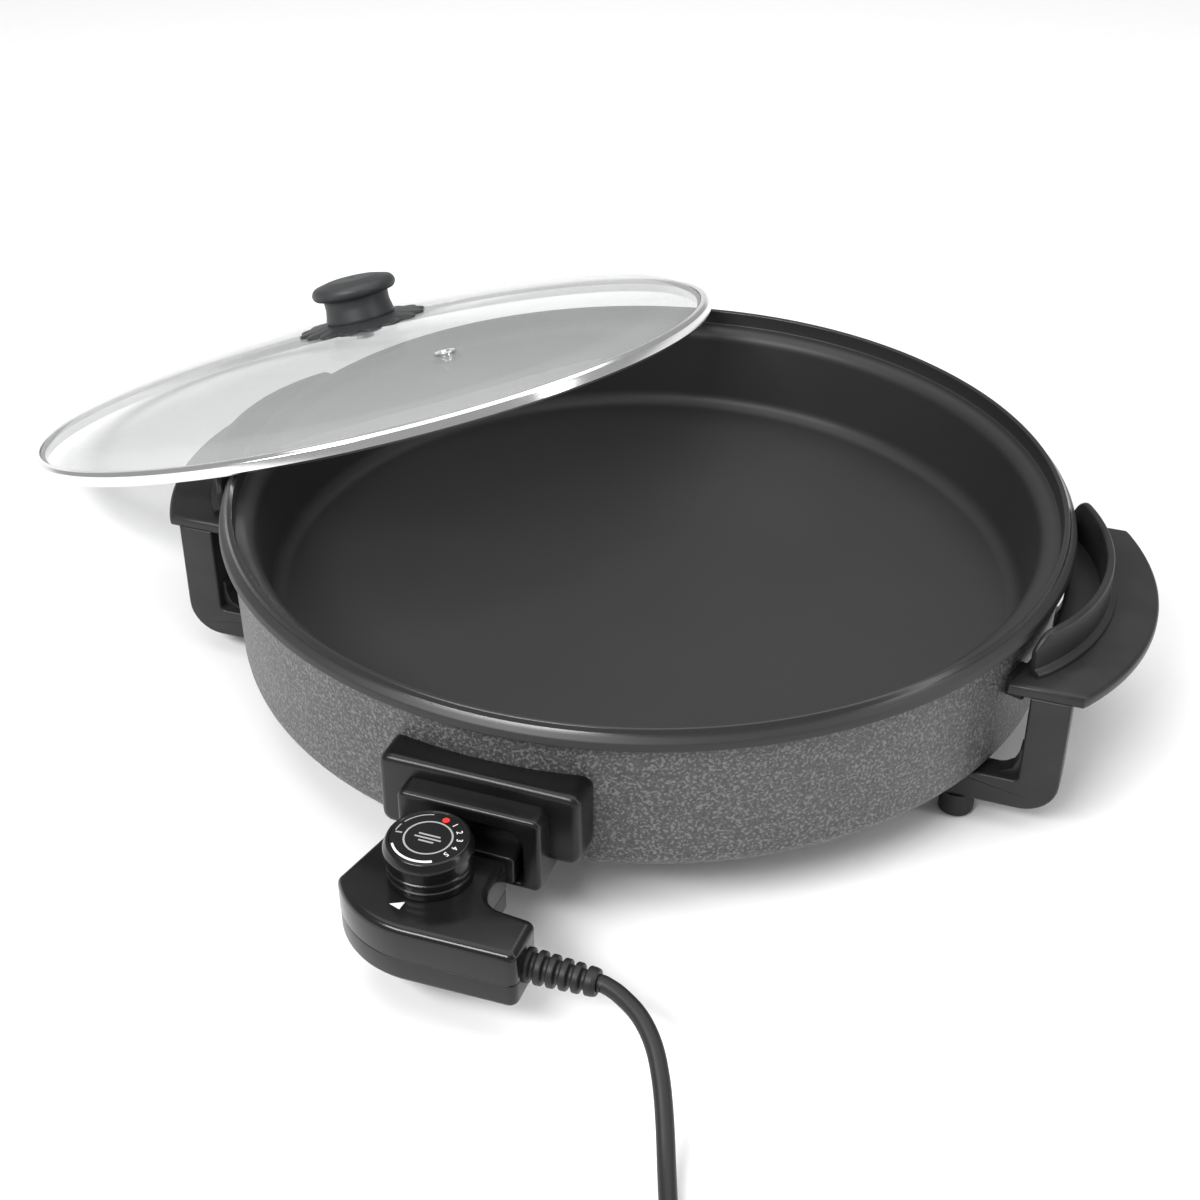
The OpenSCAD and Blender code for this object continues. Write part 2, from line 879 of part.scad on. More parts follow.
module dial_knob() {
  r = dial_d / 2;
  color([0.07, 0.07, 0.07])
    translate([dial_x, dial_y, face_z + 0.3])
      difference() {
        rotate_extrude($fn = 120)
          polygon([
            [0, 0], [r - 0.6, 0], [r - 0.6, 3.2], [r - 1.2, 3.6], [r - 0.5, 4.4], [r - 0.5, 7.4],
            [r - 1.1, 7.9], [r - 0.2, 8.8], [r, 15], [r - 1.4, dial_h - 0.3], [r - 2.4, dial_h - 0.3],
            [r - 2.4, dial_h - 1], [0, dial_h - 1]
          ]);
        translate([0, 0, -1])
          cylinder(r = shaft_r, h = 9, $fn = 48);
      }
}

module dial_face() {
  color([0.1, 0.1, 0.1])
    translate([dial_x, dial_y, face_z + dial_h - 0.7])
      cylinder(r = dial_d / 2 - 2.4, h = 0.7);
}

module dial_shaft() {
  color([0.75, 0.75, 0.75])
    translate([dial_x, dial_y, face_z - 11.5])
      cylinder(r = shaft_r, h = 19, $fn = 48);
}

// ---- lid ----

module lid_place() {
  translate(lid_at)
    rotate([0, lean, lean_side])
      children();
}

// Height of the glass's outer face at a distance from its axis
function glass_top(x) = x <= glass_r - shoulder_in
  ? shoulder_top + (dome_h - shoulder_top) * (1 - pow(x / (glass_r - shoulder_in), 2))
  : shoulder_top - (shoulder_top - glass_edge_z) * pow((x - glass_r + shoulder_in) / shoulder_in, 1.4);

glass_stops = concat(
  [for (i = [0 : 18]) (glass_r - shoulder_in) * i / 18],
  [for (i = [1 : 6]) glass_r - shoulder_in + shoulder_in * i / 6]
);

module lid_glass() {
  last = len(glass_stops) - 1;
  outside = [for (x = glass_stops) [x, glass_top(x)]];
  inside = [for (i = [last : -1 : 0]) [glass_stops[i], glass_top(glass_stops[i]) - glass_t]];
  color([0.85, 0.88, 0.88, 0.35])
    lid_place()
      difference() {
        rotate_extrude($fn = 180)
          polygon(concat(outside, inside));
        translate([0, 0, dome_h - 8])
          cylinder(r = lid_hole_r, h = 12, $fn = 36);
        translate([vent_at[0], vent_at[1], shoulder_top])
          cylinder(r = vent_r, h = dome_h, $fn = 36);
      }
}

module lid_band() {
  lip = glass_r - 4;
  bend = glass_r - shoulder_in / 6;
  color([0.75, 0.75, 0.76])
    lid_place()
      rotate_extrude($fn = 180)
        polygon([
          [lip, 0], [band_r - 0.6, 0], [band_r, 0.8], [band_r, band_h - 1], [band_r - 1, band_h],
          [glass_r, band_h + 0.2], [lip, glass_top(lip) + 0.9], [lip, glass_top(lip) + 0.02],
          [bend, glass_top(bend) + 0.02],
          [glass_r + 0.02, glass_edge_z + 0.02], [glass_r + 0.02, glass_edge_z - glass_t - 0.02],
          [lip, glass_top(lip) - glass_t - 0.02]
        ]);
}

module knob_plate() {
  r = plate_d / 2;
  scallops = 16;
  color([0.1, 0.1, 0.1])
    lid_place()
      intersection() {
        rotate_extrude($fn = 120)
          polygon(concat(
            [[lid_hole_r, dome_h + 0.02]],
            [for (x = glass_stops) if (x > lid_hole_r && x < r - 1) [x, glass_top(x) + 0.02]],
            [[r, glass_top(r) + 0.02], [r, dome_h + 1], [20, dome_h + 3], [lid_hole_r, dome_h + 3]]
          ));
        translate([0, 0, dome_h - 6])
          linear_extrude(12)
            union() {
              circle(r = r - 3.6);
              for (i = [0 : scallops - 1])
                rotate(360 * i / scallops)
                  translate([r - 4.2, 0])
                    circle(r = 4.2, $fn = 36);
            }
      }
}

module lid_knob() {
  z = dome_h + 3;
  top = dome_h + knob_h;
  r = knob_d / 2;
  color([0.1, 0.1, 0.1])
    lid_place()
      difference() {
        rotate_extrude($fn = 120)
          polygon([
            [0, z], [19.5, z], [19.5, z + 1.5], [18.5, top - 9.5], [r - 3, top - 9.5], [r - 0.8, top - 8.4],
            [r, top - 6.2], [r - 0.8, top - 3.8], [r - 4, top - 1.6], [r - 9, top - 0.5], [0, top]
          ]);
        translate([0, 0, z - 1])
          cylinder(r = 2.5, h = 13, $fn = 36);
        translate([0, 0, top - 1])
          cylinder(r = 1.6, h = 3, $fn = 36);
      }
}

module lid_screw() {
  low = dome_h - glass_t;
  color([0.75, 0.75, 0.75])
    lid_place() {
      translate([0, 0, low - 2])
        cylinder(r = 2.5, h = 5 + glass_t + 10, $fn = 36);
      translate([0, 0, low - 5])
        cylinder(r = 5, h = 3, $fn = 36);
    }
}

module lid_washer() {
  low = dome_h - glass_t;
  color([0.2, 0.2, 0.2])
    lid_place()
      tube(2.5, 10, low - 2, glass_top(10) - glass_t - 0.03);
}

module vent_grommet() {
  seat = glass_top(norm(vent_at));
  flange_z = glass_top(norm(vent_at) - 6) + 0.05;
  color([0.75, 0.75, 0.76])
    lid_place()
      translate([vent_at[0], vent_at[1], 0])
        difference() {
          union() {
            translate([0, 0, seat - glass_t - 1.4])
              cylinder(r = vent_r, h = flange_z - seat + glass_t + 2.2, $fn = 36);
            translate([0, 0, flange_z])
              cylinder(r = 6, h = 0.8, $fn = 48);
          }
          translate([0, 0, seat - glass_t - 3])
            cylinder(r = 2.2, h = glass_t + 8, $fn = 36);
        }
}

// ---- assembly ----

pan();
body_shell();
base_plate();
pan_stud();
base_spacer();
base_washer();
base_nut();
heating_element();
contact_pins();
sensor_sleeve();
pin_carrier();
socket_shroud();
socket_screws();
handle_right();
handle_left();
handle_screws();
leg_front_right();
leg_front_left();
leg_back_right();
leg_back_left();
leg_screws();
rubber_feet();
control_top();
control_bottom();
control_screws();
probe();
contact_sleeves();
thermostat();
pilot_lamp();
cord_clamp();
strain_relief();
cord();
cord_coil();
plug_lead();
plug_body();
plug_pins();
dial_knob();
dial_face();
dial_shaft();
lid_glass();
lid_band();
lid_knob();
knob_plate();
lid_screw();
lid_washer();
vent_grommet();
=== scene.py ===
# %% [markdown]
# # An electric griddle, built on its CAD frame
#
# The CAD model gives every size and place. This lesson adds what CAD leaves plain: rounded
# edges, paint, glass, printed marks and a lead that lies on the table. Lengths are written in
# millimetres, as a maker would, and turned into metres where a mesh is made.

# %% Load the frame
import json
import math

import bpy
from mathutils import Matrix, Vector


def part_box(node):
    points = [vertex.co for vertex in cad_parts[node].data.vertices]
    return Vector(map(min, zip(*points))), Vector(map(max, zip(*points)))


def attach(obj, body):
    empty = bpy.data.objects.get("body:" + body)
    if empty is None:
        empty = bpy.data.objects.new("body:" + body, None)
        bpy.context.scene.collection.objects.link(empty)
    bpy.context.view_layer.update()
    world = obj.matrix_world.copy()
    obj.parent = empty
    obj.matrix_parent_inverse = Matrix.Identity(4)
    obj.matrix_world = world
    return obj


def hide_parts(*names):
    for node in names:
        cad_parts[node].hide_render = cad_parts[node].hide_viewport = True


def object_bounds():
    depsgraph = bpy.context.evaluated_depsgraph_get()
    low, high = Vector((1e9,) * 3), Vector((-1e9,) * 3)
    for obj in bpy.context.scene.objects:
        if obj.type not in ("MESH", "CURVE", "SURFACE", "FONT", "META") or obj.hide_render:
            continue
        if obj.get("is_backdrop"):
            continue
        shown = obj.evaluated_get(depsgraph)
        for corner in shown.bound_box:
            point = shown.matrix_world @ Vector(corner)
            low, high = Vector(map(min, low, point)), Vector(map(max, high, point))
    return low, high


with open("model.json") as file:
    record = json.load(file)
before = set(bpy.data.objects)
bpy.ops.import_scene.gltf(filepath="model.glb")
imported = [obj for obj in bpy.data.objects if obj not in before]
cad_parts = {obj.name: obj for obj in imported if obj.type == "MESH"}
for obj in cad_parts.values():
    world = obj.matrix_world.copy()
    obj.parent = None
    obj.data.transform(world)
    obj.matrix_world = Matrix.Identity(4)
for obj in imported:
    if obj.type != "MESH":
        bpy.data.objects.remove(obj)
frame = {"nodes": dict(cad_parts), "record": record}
cad_lo, cad_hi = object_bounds()
MM = 0.001


def box_mm(node):
    """Lowest and highest corner of a CAD node, in millimetres."""
    lo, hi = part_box(node)
    return [v * 1000 for v in lo], [v * 1000 for v in hi]


pan_hi = box_mm("pan")[1]
RIM_R = pan_hi[0] - 3.8
RIM_Z = pan_hi[2] - 2.4
print("rim radius and height:", round(RIM_R, 1), round(RIM_Z, 1))

# %% [markdown]
# ## Camera
#
# A camera is a point and three directions: right, up and back. Writing the three directions as
# the columns of a matrix is exact, where pointing it with angles would need several tries. The
# table's level is the frame's zero, so the camera's height is a real height above the table.

# %% Place the camera
right = Vector((0.939833, 0.341631, 0.00175))
up = Vector((-0.188726, 0.514906, 0.836214))
back = Vector((0.284775, -0.786232, 0.5484))
camera = bpy.data.objects.new("camera", bpy.data.cameras.new("camera"))
bpy.context.scene.collection.objects.link(camera)
turn = Matrix((right, up, back)).transposed().to_4x4()
camera.matrix_world = Matrix.Translation(Vector((0.245314, -0.742874, 0.544927))) @ turn
camera.data.sensor_width = 36
camera.data.lens = 55.98
camera.data.clip_start = 0.05
bpy.context.scene.camera = camera
print("camera at", [round(v, 3) for v in camera.location])

# %% [markdown]
# ## The lead's route
#
# The lead is soft, so its shape is a line first. It leaves the strain relief level, sinks to the
# table in a slow curve, runs on past the front and is wound up for storage with the plug beside
# it. A curve with a round bevel is the natural tool: it keeps its thickness on every bend.

# %% Route points
relief_lo, relief_hi = box_mm("strain_relief")
ax_y = (relief_lo[1] + relief_hi[1]) / 2
ax_z = (relief_lo[2] + relief_hi[2]) / 2
CORD_R = 3.5
LOW = CORD_R + 0.1    # the line's height where the lead lies on the table
route = [
    (relief_hi[0], ax_y, ax_z), (relief_hi[0] + 2.5, ax_y, ax_z),
    (80, ax_y - 2.5, ax_z - 0.6), (90, ax_y - 8.5, ax_z - 2.5), (98.5, ax_y - 17, ax_z - 6.5),
    (105, ax_y - 27.5, ax_z - 12.5), (110.5, ax_y - 39.5, ax_z - 19.5),
    (115.6, ax_y - 52.5, ax_z - 26), (120.8, ax_y - 66, CORD_R + 2),
    (126.3, ax_y - 80, CORD_R + 0.4), (132.6, ax_y - 96, LOW), (139.6, ax_y - 112.5, LOW),
]
print("route starts at", [round(v, 1) for v in route[0]])


def ease(t, t0, t1):
    """0 before t0, 1 after t1, and a smooth step between."""
    k = min(max((t - t0) / (t1 - t0), 0), 1)
    return k * k * (3 - 2 * k)


# %% [markdown]
# ## Winding the spare length
#
# A neat coil has its turns beside and on each other, one thickness apart. Here the first turn is
# the outer one, the second lies inside it, the third climbs on the second and the last quarter
# steps back out. Each change of lane happens before the turn would meet its own start.

# %% Coil points
COIL_X, COIL_Y = 107.6, -405.5
OUTER_R = 42
LANE = 2 * CORD_R    # one thickness from turn to turn
START, TURNED = 21.7, 1191.7    # degrees
COIL_STEPS = 80
coil = []
for i in range(COIL_STEPS + 1):
    t = TURNED * i / COIL_STEPS
    r = OUTER_R - LANE * ease(t, 290, 350) + LANE * ease(t, 890, 950)
    z = LOW + LANE * ease(t, 600, 655)
    a = math.radians(START - t)
    coil.append((COIL_X + r * math.cos(a), COIL_Y + r * math.sin(a), z))
plug_lo, plug_hi = box_mm("plug_body")
plug_y = (plug_lo[1] + plug_hi[1]) / 2
plug_z = (plug_lo[2] + plug_hi[2]) / 2
tail = []
for x in (100, 92, 84, 76, 70, plug_hi[0]):
    k = ease(COIL_X - x, 0, COIL_X - plug_hi[0] - 3)
    tail.append((x, plug_y, LOW + LANE + (plug_z - LOW - LANE) * k))
print("coil ends at", [round(v, 1) for v in coil[-1]])

# %% [markdown]
# ## From points to a smooth line
#
# Straight pieces between the points would show as corners. A Catmull-Rom curve passes through
# every point with no corner, and sampling it finely gives a line that the bevel can follow.


# %% Smooth line
def smooth_line(points, per=6):
    pts = [Vector(p) for p in points]
    pts = [2 * pts[0] - pts[1]] + pts + [2 * pts[-1] - pts[-2]]
    out = []
    for i in range(1, len(pts) - 2):
        p0, p1, p2, p3 = pts[i - 1:i + 3]
        for k in range(per):
            t = k / per
            out.append(0.5 * (2 * p1 + (p2 - p0) * t + (2 * p0 - 5 * p1 + 4 * p2 - p3) * t * t
                              + (3 * p1 - p0 - 3 * p2 + p3) * t ** 3))
    return out + [pts[-2]]


def link(obj):
    bpy.context.scene.collection.objects.link(obj)
    return obj


line = smooth_line(route + coil + tail, 4)
cord_curve = bpy.data.curves.new("lead", "CURVE")
cord_curve.dimensions = "3D"
spline = cord_curve.splines.new("POLY")
spline.points.add(len(line) - 1)
for point, p in zip(spline.points, line):
    point.co = (p.x * MM, p.y * MM, p.z * MM, 1)
    point.radius = CORD_R * MM
cord_curve.bevel_depth = 1
cord_curve.bevel_resolution = 5
lead = link(bpy.data.objects.new("lead", cord_curve))
LEAD_L = sum((b - a).length for a, b in zip(line, line[1:])) * MM
print("lead length:", round(LEAD_L, 3), "m")

# %% [markdown]
# ## A small language for materials
#
# Node trees are quick to read as formulas. The class below wraps one socket, so that
# `0.3 + 0.1 * mask` adds the Math nodes by itself. `Finish` owns a material and has one method
# that adds any node: its type, its settings, and the values or links of its sockets. Each of its
# shorter methods names one thing that every finish needs: noise, a ramp, a mix, a bump.


# %% Socket and finish classes
class Value:
    """One output socket. Arithmetic on it adds Math nodes to the same tree."""

    def __init__(self, finish, socket):
        self.finish, self.socket = finish, socket

    def math(self, operation, a, b):
        return self.finish.node("ShaderNodeMath", {"operation": operation}, {0: a, 1: b})

    def __add__(self, other):
        return self.math("ADD", self, other)

    __radd__ = __add__

    def __sub__(self, other):
        return self.math("SUBTRACT", self, other)

    def __rsub__(self, other):
        return self.math("SUBTRACT", other, self)

    def __mul__(self, other):
        return self.math("MULTIPLY", self, other)

    __rmul__ = __mul__

    def __pow__(self, other):
        return self.math("POWER", self, other)


class Finish:
    """A material with one Principled shader, built node by node."""

    def __init__(self, name, **constants):
        self.material = bpy.data.materials.new(name)
        self.material.use_nodes = True
        self.tree = self.material.node_tree
        self.shader = self.tree.nodes["Principled BSDF"]
        for key, value in constants.items():
            socket = key.replace("_", " ").title().replace("Ior", "IOR")
            self.shader.inputs[socket].default_value = value

    def node(self, kind, settings=None, values=None, out=0):
        made = self.tree.nodes.new(kind)
        for key, value in (settings or {}).items():
            setattr(made, key, value)
        for key, value in (values or {}).items():
            if isinstance(value, Value):
                self.tree.links.new(value.socket, made.inputs[key])
            else:
                made.inputs[key].default_value = value
        return Value(self, made.outputs[out])

    def set(self, name, value):
        self.tree.links.new(value.socket, self.shader.inputs[name])

    def place(self):
        """Where a point is on the piece, in metres."""
        return self.node("ShaderNodeTexCoord", out="Object")

    def noise(self, scale, detail=3.0, rough=0.5):
        return self.node("ShaderNodeTexNoise", None, {
            "Vector": self.place(), "Scale": scale, "Detail": detail, "Roughness": rough})

    def ramp(self, factor, low, high, dark=0.0, light=1.0):
        """dark below low, light above high, straight between."""
        return self.node("ShaderNodeMapRange", None, {
            "Value": factor, "From Min": low, "From Max": high, "To Min": dark, "To Max": light})

    def mix(self, factor, a, b):
        return self.node("ShaderNodeMix", {"data_type": "RGBA"},
                         {"Factor": factor, 6: a, 7: b}, out=2)

    def bump(self, height, strength, distance):
        self.set("Normal", self.node("ShaderNodeBump", None, {
            "Height": height, "Strength": strength, "Distance": distance}))


def grey(v, warm=0.0):
    """A grey, pushed a little towards red when warm is above zero."""
    return (v * (1 + warm), v, v * (1 - warm), 1.0)


print("material classes ready")

# %% [markdown]
# ## Non-stick coating
#
# The coating is sprayed on, so it is matt with a very fine grain, and its sheen drifts a little
# over the floor. On the rolled rim it is polished smooth by handling: a mask made from the
# distance to the pan's axis lowers the roughness there.

# %% Non-stick coating
nonstick = Finish("nonstick_coating", ior=1.45)
split = nonstick.node("ShaderNodeSeparateXYZ", None, {0: nonstick.place()})
x_at, y_at = (Value(nonstick, axis) for axis in split.socket.node.outputs[:2])
radius = (x_at * x_at + y_at * y_at) ** 0.5
past_ledge = nonstick.ramp(radius, (RIM_R - 4) * MM, (RIM_R - 3) * MM)
before_skirt = nonstick.ramp(radius, (RIM_R + 0.4) * MM, (RIM_R + 1.4) * MM, 1, 0)
on_rim = past_ledge * before_skirt
drift = nonstick.noise(9, 3)
grain = nonstick.noise(1700, 2)
nonstick.set("Base Color", nonstick.mix(drift, grey(0.016), grey(0.022)))
nonstick.set("Roughness", nonstick.ramp(drift, 0.3, 0.7, 0.40, 0.46) - 0.24 * on_rim + 0.06 * grain)
nonstick.bump(grain, 0.12, 0.0002)
print("finish:", nonstick.material.name)

# %% [markdown]
# ## Hammered paint
#
# Hammered paint pulls itself into small cells as it dries: grey hollows with paler specks. A
# Voronoi pattern gives the cells, noise breaks their edges, and a second, finer noise scatters
# the specks. The cells drive colour and bump alike, because on the real paint they are one thing.

# %% Hammered paint
paint = Finish("hammered_paint", metallic=0.0, ior=1.5)
wobble = paint.noise(300, 2, 0.6)
cells = paint.node("ShaderNodeTexVoronoi", {"feature": "F1"},
                   {"Vector": paint.place(), "Scale": 560.0})
specks = paint.ramp(paint.noise(760, 1, 0.5), 0.50, 0.66)
tone = paint.ramp(cells * 0.7 + wobble * 0.6, 0.35, 0.95)
ground_coat = paint.mix(tone, grey(0.030), grey(0.062))
paint.set("Base Color", paint.mix(specks * 0.45, ground_coat, grey(0.25)))
paint.set("Roughness", 0.36 + 0.18 * wobble)
paint.bump(cells + 0.4 * wobble, 0.35, 0.0004)
print("finish:", paint.material.name)

# %% [markdown]
# ## Black plastics and rubber
#
# The handles are moulded phenolic: satin, faintly grained and a shade lighter where hands have
# rubbed it. The control's top shell is glossy, its lower shell and the socket are satin, and the
# lead and feet are rubber. One function makes the family, so the differences stay in plain view.


# %% Black plastics
def black(name, tone, rough, grain, depth, wear=0.0, tint=0.0):
    made = Finish(name, ior=1.4)
    broad = made.noise(38, 4, 0.6)
    fine = made.noise(grain, 2)
    rubbed = grey(tone * 1.35 + wear, -tint)
    made.set("Base Color", made.mix(made.ramp(broad, 0.35, 0.7), grey(tone, -tint), rubbed))
    made.set("Roughness", rough - 0.05 + 0.1 * broad + 0.05 * fine)
    made.bump(fine, 0.2, depth)
    return made.material


handle_black = black("handle_phenolic", 0.011, 0.38, 1500, 0.00012, 0.004)
knob_black = black("knob_phenolic", 0.028, 0.42, 1500, 0.00012, 0.004, 0.05)
socket_black = black("socket_satin", 0.004, 0.27, 1800, 0.00008)
shell_gloss = black("control_gloss", 0.007, 0.16, 300, 0.00002)
shell_satin = black("control_satin", 0.007, 0.28, 1600, 0.00006)
dial_black = black("dial_satin", 0.005, 0.17, 1500, 0.00006)
rubber = black("lead_rubber", 0.010, 0.46, 900, 0.0001)
foot_rubber = black("foot_rubber", 0.014, 0.62, 700, 0.00015)
print("black finishes ready")


# %% [markdown]
# ## Metals, ceramic and print
#
# Bright steel mirrors the studio, so its look is mostly roughness, which fine marks vary a
# little. Screws and sheet steel are duller. The printed marks are a matt ink, and the carrier of
# the pins is an unglazed ceramic. Two functions make them all, so only the differences are left.


# %% Metals
def metal(name, tone, rough, warm=0.0):
    made = Finish(name, metallic=1.0)
    broad = made.noise(60, 3)
    scuffs = made.noise(260, 4, 0.7)
    made.set("Base Color", made.mix(broad, grey(tone, warm), grey(tone * 0.86, warm)))
    made.set("Roughness", rough - 0.04 + 0.12 * scuffs)
    made.bump(scuffs, 0.06, 0.0001)
    return made.material


band_steel = metal("band_steel", 0.82, 0.14)
screw_steel = metal("screw_steel", 0.55, 0.34)
sheet_steel = metal("sheet_steel", 0.42, 0.42)
probe_steel = metal("probe_steel", 0.62, 0.22)
element_steel = metal("element_steel", 0.17, 0.5, 0.05)
contact_brass = metal("contact_brass", 0.6, 0.3, 0.18)


def matt(name, colour, rough):
    made = Finish(name, ior=1.48)
    fine = made.noise(800, 3)
    darker = tuple(c * 0.86 for c in colour[:3]) + (1.0,)
    made.set("Base Color", made.mix(fine, colour, darker))
    made.set("Roughness", rough - 0.04 + 0.08 * fine)
    made.bump(fine, 0.1, 0.0001)
    return made.material


ceramic = matt("carrier_ceramic", (0.70, 0.66, 0.58, 1), 0.6)
white_ink = matt("white_ink", (0.80, 0.80, 0.80, 1), 0.5)
grey_ink = matt("grey_ink", (0.33, 0.33, 0.33, 1), 0.5)
red_ink = matt("red_ink", (0.75, 0.03, 0.02, 1), 0.45)
lamp = matt("lamp_amber", (0.8, 0.3, 0.08, 1), 0.25)
print("metals and inks ready")

# %% [markdown]
# ## Lid glass
#
# Toughened lid glass is clear, but in a white studio it carries a veil of reflected light, and
# grease leaves faint streaks. Alpha lets straight light through without bending it, and the pale
# colour that is left is a painted reflection: the veil. Along the streaks the painted veil is a
# little thicker, and broad smears make the glass rougher and the painted veil paler. A look
# through the lid crosses two faces, so each is set to about half of the veil that the two should
# give together.

# %% Glass
glass = Finish("lid_glass", ior=1.5)
smear_and_veil = glass.noise(14, 4, 0.6)
streaks = glass.noise(5, 2, 0.5)
# Painted reflection: the pale base colour stands for the white room mirrored in the glass. It is
# paler in broad patches and thicker along the streaks, through the alpha.
glass.set("Base Color", glass.mix(smear_and_veil, (0.50, 0.51, 0.51, 1), (0.62, 0.63, 0.63, 1)))
glass.set("Alpha", 0.31 + glass.ramp(streaks, 0.3, 0.7, 0.0, 0.05))
glass.set("Roughness", glass.ramp(smear_and_veil, 0.4, 0.8, 0.03, 0.10))
print("finish:", glass.material.name)

# %% [markdown]
# ## Materials on the CAD pieces
#
# Many pieces are right as CAD made them: screws, pins and the parts inside. They keep their
# mesh and only get a finish, found from the name of the slot in the record.

# %% Carry the finishes over
finish_of = {
    "nonstick": nonstick.material, "hammered_paint": paint.material, "plain_steel": sheet_steel,
    "screw_steel": screw_steel, "element_steel": element_steel, "contact_brass": contact_brass,
    "ceramic_carrier": ceramic, "socket_plastic": socket_black, "handle_plastic": handle_black,
    "foot_rubber": foot_rubber, "control_gloss": shell_gloss, "control_satin": shell_satin,
    "probe_steel": probe_steel, "lamp_amber": lamp, "cord_rubber": rubber,
    "plug_plastic": shell_satin, "dial_plastic": dial_black, "dial_face": dial_black,
    "lid_glass": glass.material, "lid_steel": band_steel,
}
slot_of = {part["node"]: part["material_slot"] for part in frame["record"]["subparts"]}
for node, obj in frame["nodes"].items():
    if not obj.material_slots:
        obj.data.materials.append(None)
    for held in obj.material_slots:
        held.material = finish_of[slot_of[node]]
print("finished", len(frame["nodes"]), "CAD nodes")

# %% [markdown]
# ## Turning, rounding and skinning
#
# Three helpers make nearly every piece. `soften` replaces the corners of an outline with arcs.
# `revolve` spins an outline round an axis, as on a lathe. `skin` joins a row of equal loops, as a
# boat's planks join its ribs, which gives true rounded edges with no modifier.


# %% Outline helpers
def soften(points, steps=5):
    """Corners given as (x, y, radius) become arcs; (x, y) stays sharp."""
    out = []
    n = len(points)
    for i, p in enumerate(points):
        if len(p) < 3 or p[2] <= 0:
            out.append(Vector(p[:2]))
            continue
        here = Vector(p[:2])
        a = (Vector(points[i - 1][:2]) - here).normalized()
        b = (Vector(points[(i + 1) % n][:2]) - here).normalized()
        half = math.acos(max(-1, min(1, a.dot(b)))) / 2    # half of the corner's angle
        run = p[2] / math.tan(half)
        centre = here + (a + b).normalized() * (p[2] / math.sin(half))
        first, last = here + a * run - centre, here + b * run - centre
        sweep = first.angle_signed(last)
        for k in range(steps + 1):
            w = -sweep * k / steps
            out.append(centre + Vector((first.x * math.cos(w) - first.y * math.sin(w),
                                        first.x * math.sin(w) + first.y * math.cos(w))))
    return out


def inset(points, e):
    """An outline, counter-clockwise, moved e inwards."""
    n = len(points)
    out = []
    for i, p in enumerate(points):
        a = (p - points[i - 1]).normalized()
        b = (points[(i + 1) % n] - p).normalized()
        normal = Vector((-(a + b).y, (a + b).x))
        if normal.length < 1e-9:
            normal = Vector((-a.y, a.x))
        normal.normalize()
        out.append(p + normal * (e / max(0.5, normal.dot(Vector((-a.y, a.x))))))
    return out


def resample(points, n):
    """n points evenly spaced along a closed outline, from its first point."""
    lengths = [(points[(i + 1) % len(points)] - p).length for i, p in enumerate(points)]
    total, out, i, run = sum(lengths), [], 0, 0.0
    for k in range(n):
        goal = total * k / n
        while run + lengths[i] < goal:
            run += lengths[i]
            i += 1
        t = (goal - run) / max(lengths[i], 1e-9)
        out.append(points[i].lerp(points[(i + 1) % len(points)], t))
    return out


print("outline helpers ready")


# %% Mesh helpers
def piece(name, verts, faces, material, body, angle=35):
    """A mesh in metres from millimetres, smooth but for its sharp edges, riding on a body."""
    mesh = bpy.data.meshes.new(name)
    mesh.from_pydata([Vector(v) * MM for v in verts], [], faces)
    mesh.validate()
    mesh.update()
    for poly in mesh.polygons:
        poly.use_smooth = True
    mesh.set_sharp_from_angle(angle=math.radians(angle))
    mesh.materials.append(material)
    obj = link(bpy.data.objects.new(name, mesh))
    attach(obj, body)
    return obj


def revolve(name, profile, material, body, n=256, place=None, skip=None, angle=35):
    """profile is a closed outline of (distance from the axis, height)."""
    place = place or Matrix.Identity(4)
    verts, rows, faces = [], [], []
    for p in profile:
        if abs(p[0]) < 1e-6:
            rows.append([len(verts)] * n)
            verts.append(place @ Vector((0, 0, p[1])))
            continue
        rows.append(list(range(len(verts), len(verts) + n)))
        for k in range(n):
            a = 2 * math.pi * k / n
            verts.append(place @ Vector((p[0] * math.cos(a), p[0] * math.sin(a), p[1])))
    for i, row in enumerate(rows):
        after = rows[(i + 1) % len(rows)]
        for k in range(n):
            if skip and skip(profile[i], profile[(i + 1) % len(profile)], (k + 0.5) / n * 360):
                continue
            loop = [row[k], row[(k + 1) % n], after[(k + 1) % n], after[k]]
            face = list(dict.fromkeys(loop))
            if len(face) > 2:
                faces.append(face)
    return piece(name, verts, faces, material, body, angle)


def skin(name, loops, material, body, place=None, ends=True, angle=35):
    """Joins loops of equal count; the first and last are closed with a face."""
    place = place or Matrix.Identity(4)
    n = len(loops[0])
    verts = [place @ Vector(p) for loop in loops for p in loop]
    faces = []
    for i in range(len(loops) - 1):
        for k in range(n):
            a, b = i * n + k, i * n + (k + 1) % n
            faces.append([a, b, b + n, a + n])
    if ends:
        faces.append(list(range(n))[::-1])
        faces.append([len(verts) - n + k for k in range(n)])
    return piece(name, verts, faces, material, body, angle)


def quarter(steps):
    """Sine and cosine at even steps over a quarter turn."""
    angles = [math.pi / 2 * k / steps for k in range(steps + 1)]
    return [(math.sin(a), math.cos(a)) for a in angles]


def slab(name, outline, z0, z1, edge, material, body, place=None, low_edge=None, steps=4):
    """An outline pushed from z0 to z1, with its top and bottom edges rounded."""
    low = edge if low_edge is None else low_edge
    loops = []
    for s, c in quarter(steps):
        loops.append([(p.x, p.y, z0 + low - low * c) for p in inset(outline, low - low * s)])
    for s, c in quarter(steps):
        loops.append([(p.x, p.y, z1 - edge + edge * s) for p in inset(outline, edge - edge * c)])
    return skin(name, loops, material, body, place)


print("mesh helpers ready")

# %% [markdown]
# ## Pan
#
# A pressed pan is a turned shape, so it is a profile and a spin. The profile runs from the floor
# up the wall, over the shoulder to the ledge where the lid sits, up to the bead, over the bright
# edge and down the skirt that hides the housing's top. Each bend gets its own small radius.

